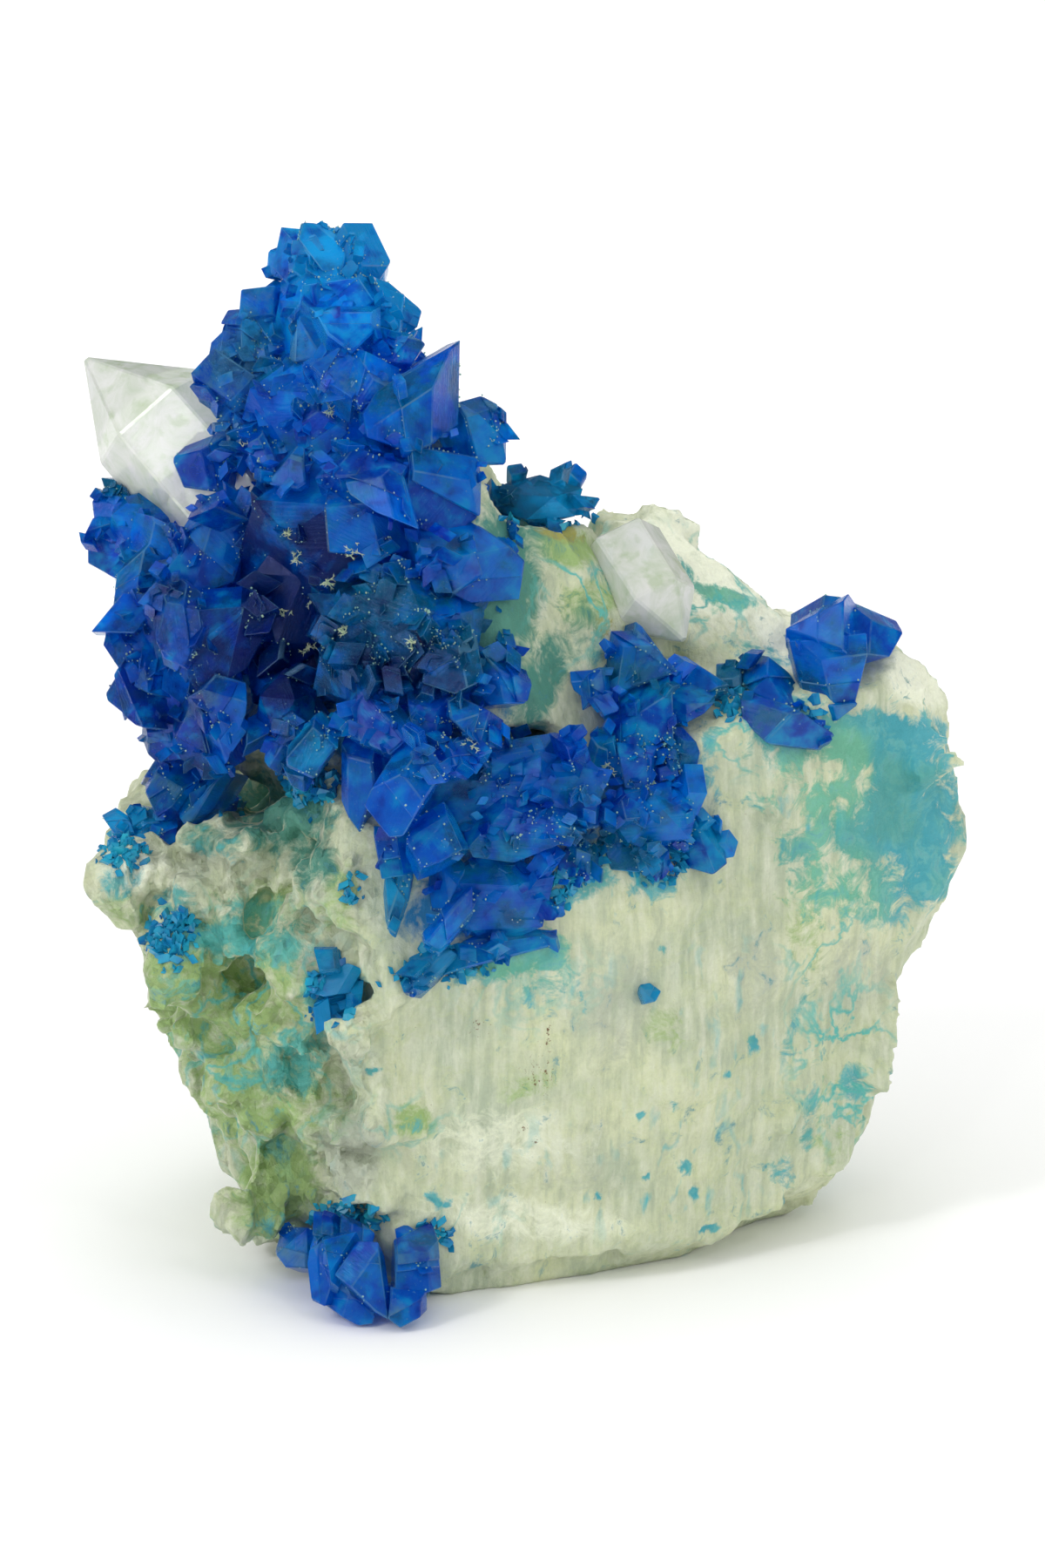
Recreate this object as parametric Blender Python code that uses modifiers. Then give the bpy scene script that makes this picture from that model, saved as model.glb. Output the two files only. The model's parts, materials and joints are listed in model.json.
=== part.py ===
"""Chalcanthite crystals grown over a loose piece of quartz rock, about 12 cm tall.

The rock is one solid: the union of a few broken blocks, roughened and cut flat where it stands.
The chalcanthite is one large fused cluster and several small ones, each a union of flat-faced triclinic
crystals trimmed to the rock they grow on. Two pale quartz crystals grow from the same rock.

Frame: metres, +Z up. The rock stands on z = 0 and the origin is on its flat foot. +X is to the right and
+Y to the back when the showing side is looked at. Tables are in millimetres and degrees. They place
things as they are seen from the showing side, which is looked down on by SIGHT: x to the right, rise up
the sight plane, and how far back.
"""

import math
import random

import bmesh
import bpy
from mathutils import Matrix, Vector, noise
from mathutils.bvhtree import BVHTree

MM = 0.001
SIGHT = math.radians(18.0)
FOOT_LINE = -13.0  # how far back rise 0 meets the table
VIEW_REACH = 150.0  # further than the rock is deep

# The front sheet: a standing corner towards the viewer that slopes back on both sides and above
CORNER_X = -15.0
CORNER_Y = -30.0
RIGHT_SLOPE = 0.40
LEFT_SLOPE = 0.60
SETBACK_RISE = 60.0
SETBACK_SLOPE = 0.42

# Chalcanthite's unit cell, which gives its faces their angles
CELL_EDGES = (0.572, 1.0, 0.557)
CELL_ANGLES = (97.6, 107.2, 77.4)
FACE_REACH = {(1, 1, 0): 1.0, (1, -1, 0): 1.05, (-1, 1, 1): 1.3}
FACE_VARIES = 0.16

# How a lobe's crystals vary
TILT_VARIES = 0.45
LENGTH_VARIES = (0.8, 1.25)
THICKNESS_SHARE = (0.5, 0.75)  # of the length
WIDTH_SHARE = (1.0, 1.35)  # of the thickness

# The rock's surface
ROCK_VOXEL = 1.5
ROCK_TRIANGLES = 1900
LUMP_SIZE = 17.0
LUMP_HEIGHT = 1.3
LEDGE_SIZE = 6.5
LEDGE_HEIGHT = 1.0
LEDGE_MIDDLE = 0.35  # the ledge pattern's usual value, which moves nothing
CORNER_SHARE = (0.62, 1.0)  # how much of a ledge's size each of its corners reaches
SKIN = 0.5  # kept clear between the rock and what grows on it
TABLE_GAP = 0.4  # kept clear between the crystals and the table
LEVEL_ANGLE = math.radians(0.5)  # faces that differ by less are one face

ROCK_COLOUR = (0.62, 0.66, 0.50, 1.0)
QUARTZ_COLOUR = (0.80, 0.82, 0.76, 1.0)
CHALCANTHITE_COLOUR = (0.01, 0.10, 0.62, 1.0)

# Corners of the blocks the rock is broken from, as (x, back, rise)
MAIN_BLOCK = (
    (-12, -29, -2), (-16, -31, 25), (-20, -31, 50), (5, -26, -0.5), (23, -18, 2.5), (37, -8, 9.5),
    (8, -27, 28), (30, -16, 35), (4, -26, 45), (23, -17, 61), (41, -8, 67), (42, 4, 20), (44.5, -2, 35),
    (47.5, -1, 44), (51.2, 0, 50), (51.9, 1, 55.5), (50.5, 2, 64.5), (47.2, 2, 69), (43, 1, 72),
    (-28, -10, 34), (-30, 0, 60), (38, 30, 52), (30, 34, 72), (0, 38, 58), (-28, 34, 52),
    (0, 36, 80), (-25, 30, 76), (20, 34, 34), (-20, 32, 28),
    (-20, -20, -4), (-5, -22, -5), (18, -10, -2), (30, 4, 3), (30, 20, 8), (10, 26, 9), (-15, 24, 8),
     (-25, 5, 3),
)
LEFT_BLOCK = (
    (-33.2, -10, 2.5), (-31, -16, 0.2), (-26, -19, 0), (-14, -29, -1), (-34.8, -8, 14), (-39.6, -6, 20),
    (-43, -5, 25), (-44.8, -4, 34), (-46, -3, 41), (-30, -19, 33), (-22, -26, 30), (-21, -26, 40),
    (-33, -13, 42), (-38, 22, 36), (-36, 24, 58), (-25, 26, 18),
)
LEFT_SHELF = (
    (-48.3, -1, 45.3), (-47.5, -3, 49), (-46, -4, 44), (-41, -6, 52.5), (-36, -12, 41), (-25, -12, 43),
    (-25, -8, 50), (-42, 8, 44), (-44, 14, 56), (-30, 20, 60),
)
BACK_TOWER = (
    (-38, -2, 55), (-38, 6, 85), (-26, -14, 58), (-6, -16, 58), (-24, -4, 92), (-10, -4, 96), (-10, 8, 98),
    (-28, 12, 95), (0, -12, 62), (4, 0, 80), (-34, 24, 70), (0, 28, 82),
)
TEAL_SLAB = (
    (-6, -14, 91), (-1.5, -12, 85), (-4, -21, 75.5), (-0.7, -22, 71.2), (1, -22.5, 67.4), (3, -23, 64),
    (4.1, -23, 61), (-12, -21, 75), (-10, -25, 60), (-12, -6, 92), (2, -10, 77), (6, -12, 66), (8, -16, 60),
)
MOTTLED_SLAB = (
    (-1.3, -11, 84.6), (4.5, -9, 84.5), (8.5, -8, 78), (11, -11, 70), (7, -15, 68), (3.5, -14, 72),
    (17, -7, 66), (9, -18, 61), (0, 12, 82), (12, 10, 80), (20, 0, 62),
)
RIGHT_SLAB = (
    (8, 6, 86), (14, 7, 87.6), (18, 7, 86.2), (21.5, 7, 82.6), (26.5, 5, 77.6), (30, 5, 75), (32.5, 4, 72.5),
    (23, -5, 67), (19, -5, 70), (15, -3, 75), (10, 26, 84), (28, 24, 76), (20, 30, 66),
)
BLOCKS = (MAIN_BLOCK, LEFT_BLOCK, LEFT_SHELF, BACK_TOWER, TEAL_SLAB, MOTTLED_SLAB, RIGHT_SLAB)

# Ledges and ribs that stand out of the rock, as
# (x, rise, inset, lean, nod, spin, width, thickness, length)
LEDGES = (
    (-25.0, 40.0, 0.5, 28, 0, 20, 9, 6, 12),
    (-19.5, 46.0, -0.5, 4, 0, 10, 4, 5, 17),
    (-16.0, 34.5, -1.0, -14, 4, 40, 6, 5, 13),
    (-23.5, 32.0, 0.5, -40, 5, 15, 6, 6, 13),
    (-24.5, 34.5, -1.0, 82, 0, 30, 3.5, 4, 8),
    (-28.5, 26.0, 0.5, -30, 0, 35, 8, 6, 12),
    (-20.0, 12.5, 0.0, -8, 0, 30, 8.5, 7, 12),
    (-29.0, 8.5, 1.0, 24, 0, 10, 7, 6, 12),
    (-36.0, 27.5, 1.0, -32, 6, 20, 9, 6, 10),
    (-32.0, 18.0, 1.0, -48, 0, 15, 7, 6, 10),
    (-38.5, 38.0, 0.0, -20, 0, 25, 9, 7, 9),
    (-25.0, 19.0, 0.0, -25, 0, 10, 7, 5, 11),
    (-33.0, 49.0, 5.0, 70, 0, 10, 6, 6, 14),
    (-14.0, 20.0, 0.5, 12, 0, 25, 7, 5, 16),
    (33.0, 25.0, 0.5, 16, 0, 20, 4, 3, 24),
    (41.0, 26.0, 3.0, 8, 0, 30, 6, 7, 16),
    (46.0, 60.0, 3.0, -28, 0, 20, 8, 7, 14),
    (25.0, 55.0, 1.0, -60, 0, 30, 6, 5, 14),
)

# Crystals that can be told apart. Each row is how far behind the front sheet the crystal's showing face lies,
# how far that face swings to the right and tips up, how deep the crystal is, and the face's corners as
# (x, rise)
SPIRE = (
    (6, 8, 10, 6, (-25.1, 119.1), (-20, 118.8), (-15.9, 115.4), (-16.3, 113.4), (-22.9, 113.6),
     (-25.6, 117.2)),
    (7, -20, 15, 5, (-29.2, 116.6), (-28.2, 117.5), (-26.1, 117.2), (-27.3, 113.2), (-29.4, 113.7)),
    (5, -12, 30, 5, (-27, 115.4), (-25.3, 116.9), (-22.9, 116.9), (-22.8, 113.9), (-25.3, 113.1),
     (-27, 114.3)),
    (8, 32, 0, 5, (-16.5, 113.2), (-14.4, 112.5), (-11.6, 109.1), (-12.5, 106), (-15.9, 107.7)),
    (3.5, 4, 12, 8, (-24.7, 113.4), (-20.6, 114), (-17.3, 113.4), (-15.9, 111.3), (-18.2, 109.4),
     (-25.3, 109.6)),
    (5, -25, 20, 8, (-32.6, 111.6), (-29.7, 114), (-26.7, 112.2), (-25.9, 109.3), (-29.4, 107.6),
     (-31.9, 109.4)),
    (-1, -40, 0, 9, (-35.2, 106.3), (-34.4, 109.3), (-32.3, 109.4), (-32.2, 104.3), (-35.2, 104.6)),
    (2, -15, 8, 4, (-31.4, 106.6), (-30, 107.2), (-29.1, 106.3), (-31, 99.3), (-33.5, 99.3), (-32.9, 102.2)),
    (-1, -40, -5, 9, (-36.1, 102.8), (-35.2, 104), (-33, 103.7), (-33.6, 98.4), (-36.1, 99)),
    (1, -18, -4, 6, (-27.1, 103.1), (-26.9, 106.9), (-25.9, 109.6), (-23.5, 109), (-21.5, 105.7),
     (-22.9, 103.8)),
    (1, 10, 26, 7, (-24, 110), (-18.2, 110.1), (-16, 110.4), (-16, 107.6), (-19.4, 104.2), (-22, 106.2)),
    (4, 24, 38, 6, (-16.5, 108.7), (-13.5, 108.1), (-11.2, 105.2), (-12.7, 102.9), (-16.8, 103.6)),
    (-2, 2, 34, 6, (-25, 103.4), (-23.2, 104.6), (-18.2, 104.2), (-16.8, 103.4), (-19.4, 99.0),
     (-22.3, 100.9)),
    (0, 28, -14, 7, (-19.4, 99.5), (-16.8, 103.6), (-12.9, 101.8), (-14.6, 99.4), (-18.2, 97.6)),
    (-2.5, 12, -4, 9, (-17.6, 96.7), (-15.9, 99.3), (-12.9, 101.3), (-5.9, 105.4), (-6.1, 95.5),
     (-12.4, 92.8), (-17.3, 94.4)),
    (1.5, -14, 4, 6, (-30.8, 102.2), (-29.1, 103.6), (-26, 103.2), (-26.6, 98.2), (-30.3, 98.2)),
    (0.5, -8, -10, 6, (-25.9, 99.6), (-23, 101.5), (-19.6, 99.3), (-20.1, 95), (-23.5, 91.6), (-25.9, 94.5)),
    (2, -6, -16, 6, (-30.2, 98.8), (-26.4, 99.4), (-24.8, 95), (-27.2, 92.8), (-30.6, 95.6)),
    (1, 26, 4, 9, (-6.9, 98.4), (-3.9, 99.3), (-1.5, 96.9), (-1.2, 95.3), (-2.1, 91.6), (-5.2, 91.6)),
    (-1, -24, 36, 4, (-34.7, 96.4), (-32.2, 98.6), (-31.1, 97.2), (-31.2, 95.3), (-33.2, 93.2),
     (-34.4, 94.2)),
    (-3, -20, 34, 3.4, (-31.4, 95.2), (-30.1, 95.8), (-28.4, 92.3), (-28.2, 89.2), (-31.1, 91.5)),
    (-3.3, 12, 36, 3.6, (-28.7, 92.3), (-27, 94.3), (-25.2, 93.7), (-24.7, 89.3), (-25.6, 88.7),
     (-28.7, 89.2)),
    (0, -26, 6, 7, (-39.5, 96), (-35, 97), (-34.1, 93), (-34.8, 88.6), (-38.8, 89.2), (-40, 92)),
    (-5, 14, 24, 4, (-20.6, 90.8), (-16.5, 91.4), (-14.1, 90.5), (-12.4, 84.2), (-16.5, 85.8), (-19.4, 87.8)),
    (-3, -4, 32, 8, (-23.8, 91.2), (-20.3, 95.7), (-15.9, 94), (-12, 93.4), (-13.8, 90.2), (-20.6, 89.8)),
    (-2, 20, -6, 9, (-12.3, 93.2), (-4.7, 91.9), (-4.3, 89.9), (-4.9, 85.6), (-8.8, 82.8), (-13, 85)),
    (-3.5, 24, -12, 9, (-10.8, 83.2), (-4.4, 84.6), (0, 80.2), (-0.6, 76.1), (-5.9, 75.7), (-10.8, 78.3)),
    (-2.5, -6, -8, 9, (-22.5, 90.2), (-20.2, 90.4), (-16.2, 86.2), (-12, 84.2), (-11.2, 80.6), (-21.8, 81.4)),
    (0.5, -14, 14, 6, (-26, 88.2), (-23.3, 88.7), (-22.3, 86.2), (-22.3, 83.7), (-24.4, 82.3), (-26.2, 83.4)),
)
LEFT_LOBE = (
    (-2, -26, 4, 8, (-40.3, 82.7), (-36.7, 88), (-33, 87.6), (-32.2, 84.7), (-34.2, 78.3), (-37.9, 76.8),
     (-40.5, 79.7)),
    (1, 16, -10, 7, (-32.8, 84.9), (-30.3, 87.9), (-28.6, 85.9), (-28.9, 82.9), (-30.6, 81.5), (-32.8, 82.3)),
    (-3, -8, -4, 9, (-37.4, 77), (-29.7, 77.6), (-28.9, 76.2), (-30.1, 71.2), (-31.8, 68.2), (-37.3, 65.1),
     (-38.1, 68.6)),
    (-3, 8, -14, 8, (-37.9, 64.2), (-34.7, 67), (-31.3, 66), (-31.6, 63), (-33.6, 57.8), (-35, 55.7)),
    (-2.5, -34, -10, 7, (-39.3, 65.2), (-37.3, 64.4), (-35.1, 55.9), (-39.1, 58), (-41, 62)),
    (-5.5, -22, 6, 5, (-42, 79.2), (-39.4, 78.8), (-37.1, 76.8), (-36.5, 72.7), (-38.2, 68.3), (-40.5, 69.3),
     (-43.1, 74.8)),
    (4, -30, -6, 6, (-50.2, 83.3), (-48.2, 85), (-44.3, 83), (-44.6, 79.4), (-46.4, 78.5), (-50.2, 80.6)),
    (3.5, -20, 12, 8, (-49.7, 88.3), (-47.6, 89.6), (-42.3, 89.3), (-42.2, 84.1), (-44.3, 82), (-49.1, 83.7)),
    (0, -30, 20, 6, (-46.4, 80.2), (-43.2, 83), (-40.8, 82.9), (-41.6, 78.8), (-45.8, 76.4), (-46.9, 75.6)),
    (-1, -32, 6, 8, (-46.9, 75.8), (-43.3, 75.6), (-41.4, 71), (-40.6, 64.6), (-45, 66.6), (-48, 71)),
    (-1.5, -40, 0, 8, (-48.6, 68.4), (-47, 71), (-43.3, 66.4), (-40.8, 60.8), (-44, 61.8), (-47.6, 64.6)),
    (0, -24, -16, 9, (-44, 62.4), (-39.8, 61.4), (-38.6, 58), (-42, 57.6), (-44.2, 59.6)),
    (3, -26, 26, 9, (-43.2, 56.2), (-39.1, 58.2), (-37.1, 57), (-40.3, 52.6), (-42, 51.5), (-43.8, 55.1)),
    (3, -14, 0, 9, (-40.2, 52.6), (-36.4, 56.4), (-33.3, 56.2), (-35.8, 52), (-38.6, 50.3)),
    (4, 10, -6, 7, (-30.4, 81.4), (-25.3, 81.6), (-25.2, 71), (-29, 68.8), (-30.4, 75)),
    (5, 6, -10, 7, (-31.4, 69.4), (-26.8, 69.4), (-27.2, 63.8), (-30.7, 63.8)),
)
CENTRE = (
    (-2, -24, 2, 5, (-29.1, 59.8), (-27.1, 62.3), (-25.7, 62.5), (-26.9, 58.1), (-28.2, 56.1), (-29.3, 57.7)),
    (-4, -4, 6, 5, (-26.8, 59.5), (-23, 63.9), (-20.5, 61.7), (-21.5, 58.9), (-23.7, 55.8), (-26.5, 57.1)),
    (-2, 4, -20, 4, (-27.1, 56.8), (-23.6, 56.2), (-23.6, 54.8), (-24.4, 53.9), (-26.2, 54.8)),
    (-1, -10, 16, 8, (-22.8, 81.4), (-11.6, 81.2), (-10.6, 76), (-20, 74.6), (-23.2, 77.6)),
    (-1.5, -6, 12, 8, (-22, 75.4), (-10.6, 76.4), (-9.6, 73), (-11.6, 66.6), (-20.2, 67), (-23, 71)),
    (-4, -8, 8, 8, (-10.1, 73.3), (-8.2, 73.5), (-5.6, 72.2), (-4.6, 67), (-7.6, 65.4), (-11.2, 66.6)),
    (-4, 22, 10, 7, (-6, 72), (-0.9, 69.3), (0.8, 66.8), (0.2, 64.3), (-3.3, 64.2), (-5, 66.9)),
    (-5, 14, -6, 6, (-7.9, 64.4), (-6.7, 64.8), (-1.7, 62), (-2.6, 58.9), (-4.8, 59.1), (-7.9, 62.3)),
    (-4.5, 6, 24, 5, (-10.4, 60), (-5.8, 61.1), (-3.5, 58.8), (-6.4, 57.3), (-9.4, 57)),
    (-7, -8, 2, 6, (-14.8, 59.4), (-12, 60.8), (-9.3, 57.3), (-9.7, 55.7), (-13.4, 49.5), (-14.9, 49.3),
     (-17.6, 52.7)),
    (-7, 8, 20, 6, (-11.9, 51.5), (-8.8, 53.4), (-7.4, 52.1), (-5.7, 48.4), (-9.1, 46.5), (-11.3, 45.7),
     (-12.9, 48.7)),
    (-1.5, -12, 18, 7, (-20.3, 66.6), (-15, 65.4), (-11.8, 61.4), (-15, 58.6), (-20, 60.8)),
    (-1.5, -22, -6, 6, (-20.9, 61.3), (-17.5, 60.4), (-16.8, 55), (-18.5, 49.8), (-20.9, 53)),
    (-1.5, 4, -8, 6, (-13.2, 66.3), (-7.8, 65.4), (-7.8, 60.3), (-12.2, 60.2)),
)
BAND = (
    (-2, 10, 16, 6, (-3.5, 60), (4, 61.3), (4.9, 57.6), (4.8, 56.3), (-3.5, 55.4)),
    (-6, 8, -10, 8, (-7, 50.5), (-3.3, 54.6), (0.4, 53.4), (8, 53.8), (6.7, 49.5), (3.4, 48),
     (-0.9, 46.3), (-5.3, 46.9)),
    (-3, 0, 42, 4, (1, 53), (2.2, 55.6), (8.2, 55.4), (6, 52.8)),
    (-5, 10, 6, 6, (-4.2, 43.8), (0.4, 47), (1.9, 46.8), (5.7, 42.3), (3.4, 39.7), (-0.9, 39.6), (-3.7, 41)),
    (-2, 6, -4, 4, (4, 46.9), (6.2, 48.2), (9.3, 48.1), (9.3, 45.5), (6.2, 44.2), (4.2, 45.2)),
    (-2.5, 16, -6, 5, (8.9, 49.6), (12, 51.7), (14.2, 51.5), (15.2, 46.5), (13.2, 45.1), (10.2, 45.4)),
    (-1, 10, -16, 3, (13.8, 47.4), (16.7, 47.9), (17, 45.2), (15.4, 43.8), (13.5, 44.9)),
    (-2, 18, 18, 5, (16.7, 55.3), (19.7, 54), (20.1, 51.4), (18.1, 50.6), (16.4, 52)),
    (-1.5, -6, 6, 4, (-17, 50.4), (-13, 50), (-12.4, 45), (-15.9, 44.4)),
    (-1.5, -10, 0, 2.4, (-15.2, 45.9), (-13.4, 46.2), (-12.5, 44.7), (-13, 42), (-14.6, 37.4),
     (-15.7, 39.2), (-16, 42.6)),
    (-7, 4, 28, 3, (-7.6, 43), (-5.8, 43), (-5.4, 41), (-9.4, 36.4), (-11.1, 37.3), (-11.4, 38.6)),
    (-2.5, -6, 20, 3.5, (-14.8, 35.5), (-10.3, 36.7), (-7.3, 35.8), (-11.9, 31.5), (-13.4, 31.5),
     (-13.7, 33.4)),
    (-3, 12, 12, 4, (-8.8, 36.1), (-2.1, 39.4), (4, 40.3), (3.4, 36.7), (-2.7, 36.5), (-8.8, 33.6)),
    (-4, 0, 10, 5, (-11.2, 45.2), (-7, 46.8), (-4.3, 44), (-6, 40.4), (-10.5, 41)),
    (-1.5, 14, 30, 6, (8.6, 55.2), (13, 56.4), (16.7, 55.2), (16.7, 51.4), (9.6, 50.8)),
    (-2, 16, 6, 5, (4.6, 57.2), (9.2, 55.4), (9.4, 50.4), (5.4, 49.6)),
    (-2.5, 18, 0, 8, (17.2, 54), (21, 54.2), (24.1, 50.1), (23.2, 46.1), (21.7, 44.9), (18.9, 45.7),
     (17, 50.4)),
)
RIGHT_GROUP = (
    (0, -6, 8, 6, (9.7, 73), (12.6, 73), (17.5, 67.9), (16, 67.3), (11.7, 65.9), (8.9, 67.8)),
    (1, 26, 0, 4, (13.4, 73.6), (16.3, 69.7), (15, 68.6), (13, 71.4)),
    (1, 22, 34, 4, (16.7, 69), (19.9, 69.4), (23, 67.4), (23.8, 66), (20.6, 65.3)),
    (-2, 2, -4, 8, (11.7, 66.3), (16.8, 68.2), (17, 58.8), (14.6, 57.6), (11.7, 58.3), (9.1, 62.6),
     (8.8, 64.4)),
    (-1, 26, -10, 6, (16.5, 65.8), (23.6, 66.2), (20.6, 63.1), (17, 61.2)),
    (1, -20, 0, 5, (5.1, 67.8), (8.9, 68.1), (9.4, 64.5), (7.8, 64.2), (5.9, 65.7)),
    (0, -16, -12, 5, (7.8, 61), (11.5, 59.6), (11.8, 55.6), (9.6, 55.9), (7, 58.2)),
    (0, 20, -6, 5, (17, 61.3), (19.2, 61.3), (20.2, 58.6), (19.8, 56.7), (18.9, 55.4), (16.3, 58.6)),
    (-0.5, 6, -10, 7, (10.9, 59.4), (17.1, 59.2), (16.7, 54.6), (11.8, 54.6)),
)
SHOULDER_GROUP = (
    (-3, 34, 12, 11, (36.6, 77.5), (44.4, 74.3), (44, 72.9), (42.2, 69.8), (36.1, 70.5)),
    (-3.2, -22, 16, 8, (29.2, 71.5), (32.4, 75.2), (36.7, 77.4), (36.5, 70.5), (31.2, 70.8)),
    (-1.5, 16, -20, 6, (39.9, 71.7), (38.1, 64.4), (33.9, 61.2), (32.8, 64), (31.2, 70.6)),
    (-1, -4, 10, 6, (24.5, 69), (26.4, 71.1), (30.6, 68.6), (33.2, 64.4), (30.3, 63.7), (26.5, 65.5),
     (25, 66.9)),
    (1, -20, 10, 6, (25, 65.8), (30, 64.2), (34.4, 61.6), (32.5, 59.6), (28, 59.8), (25.3, 62.3)),
    (3, -10, 0, 4, (21.7, 69), (24.8, 69.2), (25.4, 63.5), (23.2, 63.6)),
)
FOOT_GROUP = (
    (-8.5, -38, 4, 8, (-24, 3.4), (-22.9, 3.9), (-21.7, 1), (-21.6, -1), (-22.7, -4.5), (-24.1, -3.9),
     (-24.6, 0.1)),
    (-8.5, 4, 30, 6, (-23, 4.8), (-21.3, 5.2), (-18, 2.9), (-20.9, -1.4), (-21.8, -1.2)),
    (-9, 6, -6, 9, (-21.8, -0.8), (-20.9, -1.1), (-16.8, -4.8), (-17.3, -6.6), (-18.8, -6.8), (-22.9, -4.6)),
    (-8, 20, 0, 9, (-18.1, 2.7), (-16.3, 2.5), (-14.9, 1.1), (-13.8, -6.9), (-16.8, -5), (-20.8, -1)),
    (-8.4, 10, -4, 9, (-14.8, -2.6), (-10.7, -3), (-10.7, -5.3), (-13.9, -7), (-15.2, -6)),
    (-6, 8, 6, 7, (-14.4, 3.1), (-10.6, 5.2), (-9.7, 5.3), (-9.1, -2.4), (-12.9, -3.5), (-14.4, -3.7)),
    (-4, -10, 10, 8, (-28.8, 3.9), (-27.9, 4.7), (-22.6, 3.3), (-22.6, -0.7), (-27.2, -0.4), (-28.6, 1.4)),
    (-4, -6, 24, 5, (-23.9, 6.1), (-22.5, 6.3), (-20.4, 5.6), (-20.2, 3), (-24, 3.4)),
    (-3.5, 10, 20, 5, (-20.6, 6.2), (-18.6, 5.4), (-17, 3.4), (-17.4, 2), (-20.8, 2.6)),
)
LEDGE_GROUP = (
    (0, -14, 26, 2.5, (-48.6, 51.6), (-47, 52.5), (-45.6, 51.6), (-44.8, 49.6), (-47, 49.4)),
    (1.5, -10, 34, 4, (-45.8, 52.2), (-44, 53.4), (-42.2, 53), (-41.8, 50.6), (-44.5, 50.5)),
    (0.5, -22, -4, 5, (-47.1, 49.9), (-45.4, 51.1), (-42, 51), (-41.8, 48.1), (-43.3, 45.5),
     (-47.2, 45.2), (-47.8, 47.4)),
    (1, 16, 4, 4, (-42.6, 50.6), (-39.6, 51.4), (-39.9, 48.4), (-42.4, 47.4)),
)
POCKET_GROUP = (
    (-1, -14, 6, 4, (-40.6, 42.1), (-37.7, 42), (-37.7, 40.3), (-39.9, 35.2), (-42.5, 35.8), (-42.5, 38.2)),
    (-0.5, 10, 0, 3.5, (-39, 39.4), (-36.6, 39.6), (-36.2, 36.2), (-38, 35.2), (-39.9, 36.4)),
)
CREVICE_GROUP = (
    (-0.5, -16, 10, 5, (-24.8, 32.7), (-22.5, 33.9), (-20, 34.5), (-18.5, 34), (-20, 31.4),
     (-22.5, 30.9), (-24.1, 31.3)),
    (-1, -10, 30, 4, (-23.9, 29.3), (-21.8, 31.1), (-19.5, 31.6), (-19.3, 30), (-22.5, 28.9)),
    (-1, 8, 0, 4, (-19.9, 32.3), (-18, 32.7), (-18.5, 29.7), (-19.2, 27.4), (-20.1, 28.8)),
    (0, -6, 20, 4, (-23.8, 36.6), (-20.3, 36.6), (-20, 34), (-23, 33.6)),
)
DROP_GROUP = (
    (-0.6, 10, 8, 3.4, (13.6, 32.6), (14.6, 32.6), (15.8, 31.3), (15.2, 30.2), (13.9, 29.9), (13.3, 31.2)),
)
# The crystals of LEDGE_GROUP are the left lobe's lowest ones, so they belong to the main cluster
MAIN_CLUSTER = SPIRE + LEFT_LOBE + LEDGE_GROUP + CENTRE + BAND + RIGHT_GROUP
SMALL_CLUSTERS = {
    "chalcanthite_shoulder_cluster": SHOULDER_GROUP,
    "chalcanthite_foot_cluster": FOOT_GROUP,
    "chalcanthite_pocket_cluster": POCKET_GROUP,
    "chalcanthite_crevice_cluster": CREVICE_GROUP,
    "chalcanthite_drop_crystal": DROP_GROUP,
}
COVERED_SIDE = -0.55  # lobe crystals that would point to the viewer more than this are left out
BACK_SHARE = 0.84  # a crystal's hidden face, as a share of its showing one
OVERLAP = 1.06  # how much a showing face is spread so that neighbours grow together
PROUD_SHARE = 0.35  # how much of a crystal's depth stands out of the rock at least
UNCUT_SIZE = 8.0  # wider than any crystal before it is scaled

# Lobes that the main cluster's crystals stand on, as
# (x, rise, inset, radius across, radius through, radius up, crystals, their length)
LOBES = (
    (-22.0, 108.0, 9, 8, 8, 8.5, 12, 7.5),
    (-21.0, 97.0, 10, 14, 10, 11, 14, 8.5),
    (-18.5, 84.0, 10, 16.5, 11, 12, 12, 9.0),
    (-38.0, 70.5, 7, 7.5, 9, 15.0, 13, 8.5),
    (-43.0, 84.5, 7, 6, 5, 5.5, 10, 5.0),
    (-14.0, 70.5, 5, 11, 8, 11, 5, 6.5),
    (-4.0, 54.0, 2, 16, 5, 6.0, 5, 6.5),
    (14.0, 51.5, 2, 7, 5, 4.5, 3, 6.0),
    (-3.5, 42.0, 1, 8, 4, 6, 3, 5.5),
    (14.0, 63.0, 4, 4.5, 4, 6, 3, 6.0),
)
BACK_DRUSE = (2.0, 87.6, 8, 5.5, 4.0, 3.0, 12, 3.8)

# Quartz crystals: the tip as (x, back, rise), how the crystal is turned, and its radius and lengths
QUARTZ_TAPER = 0.96
QUARTZ_TIP_OFFSET = 0.22  # of the radius
QUARTZ = {
    "quartz_point": {"tip": (-51.0, 13.0, 104.6), "lean": 139.0, "nod": 6.0, "spin": 12.0,
                     "radius": 8.6, "body": 16.0, "point": 11.0},
    "quartz_crystal_right": {"tip": (18.8, -9.0, 71.2), "lean": -32.0, "nod": -24.0, "spin": 20.0,
                             "radius": 5.6, "body": 9.0, "point": 5.5},
}


# Places and turns

def seen(x, back, rise):
    """The point that shows at x and rise from the showing side and lies that far back, in metres."""
    z = rise / math.cos(SIGHT) - (back - FOOT_LINE) * math.tan(SIGHT)
    return Vector((x, back, z)) * MM


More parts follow.
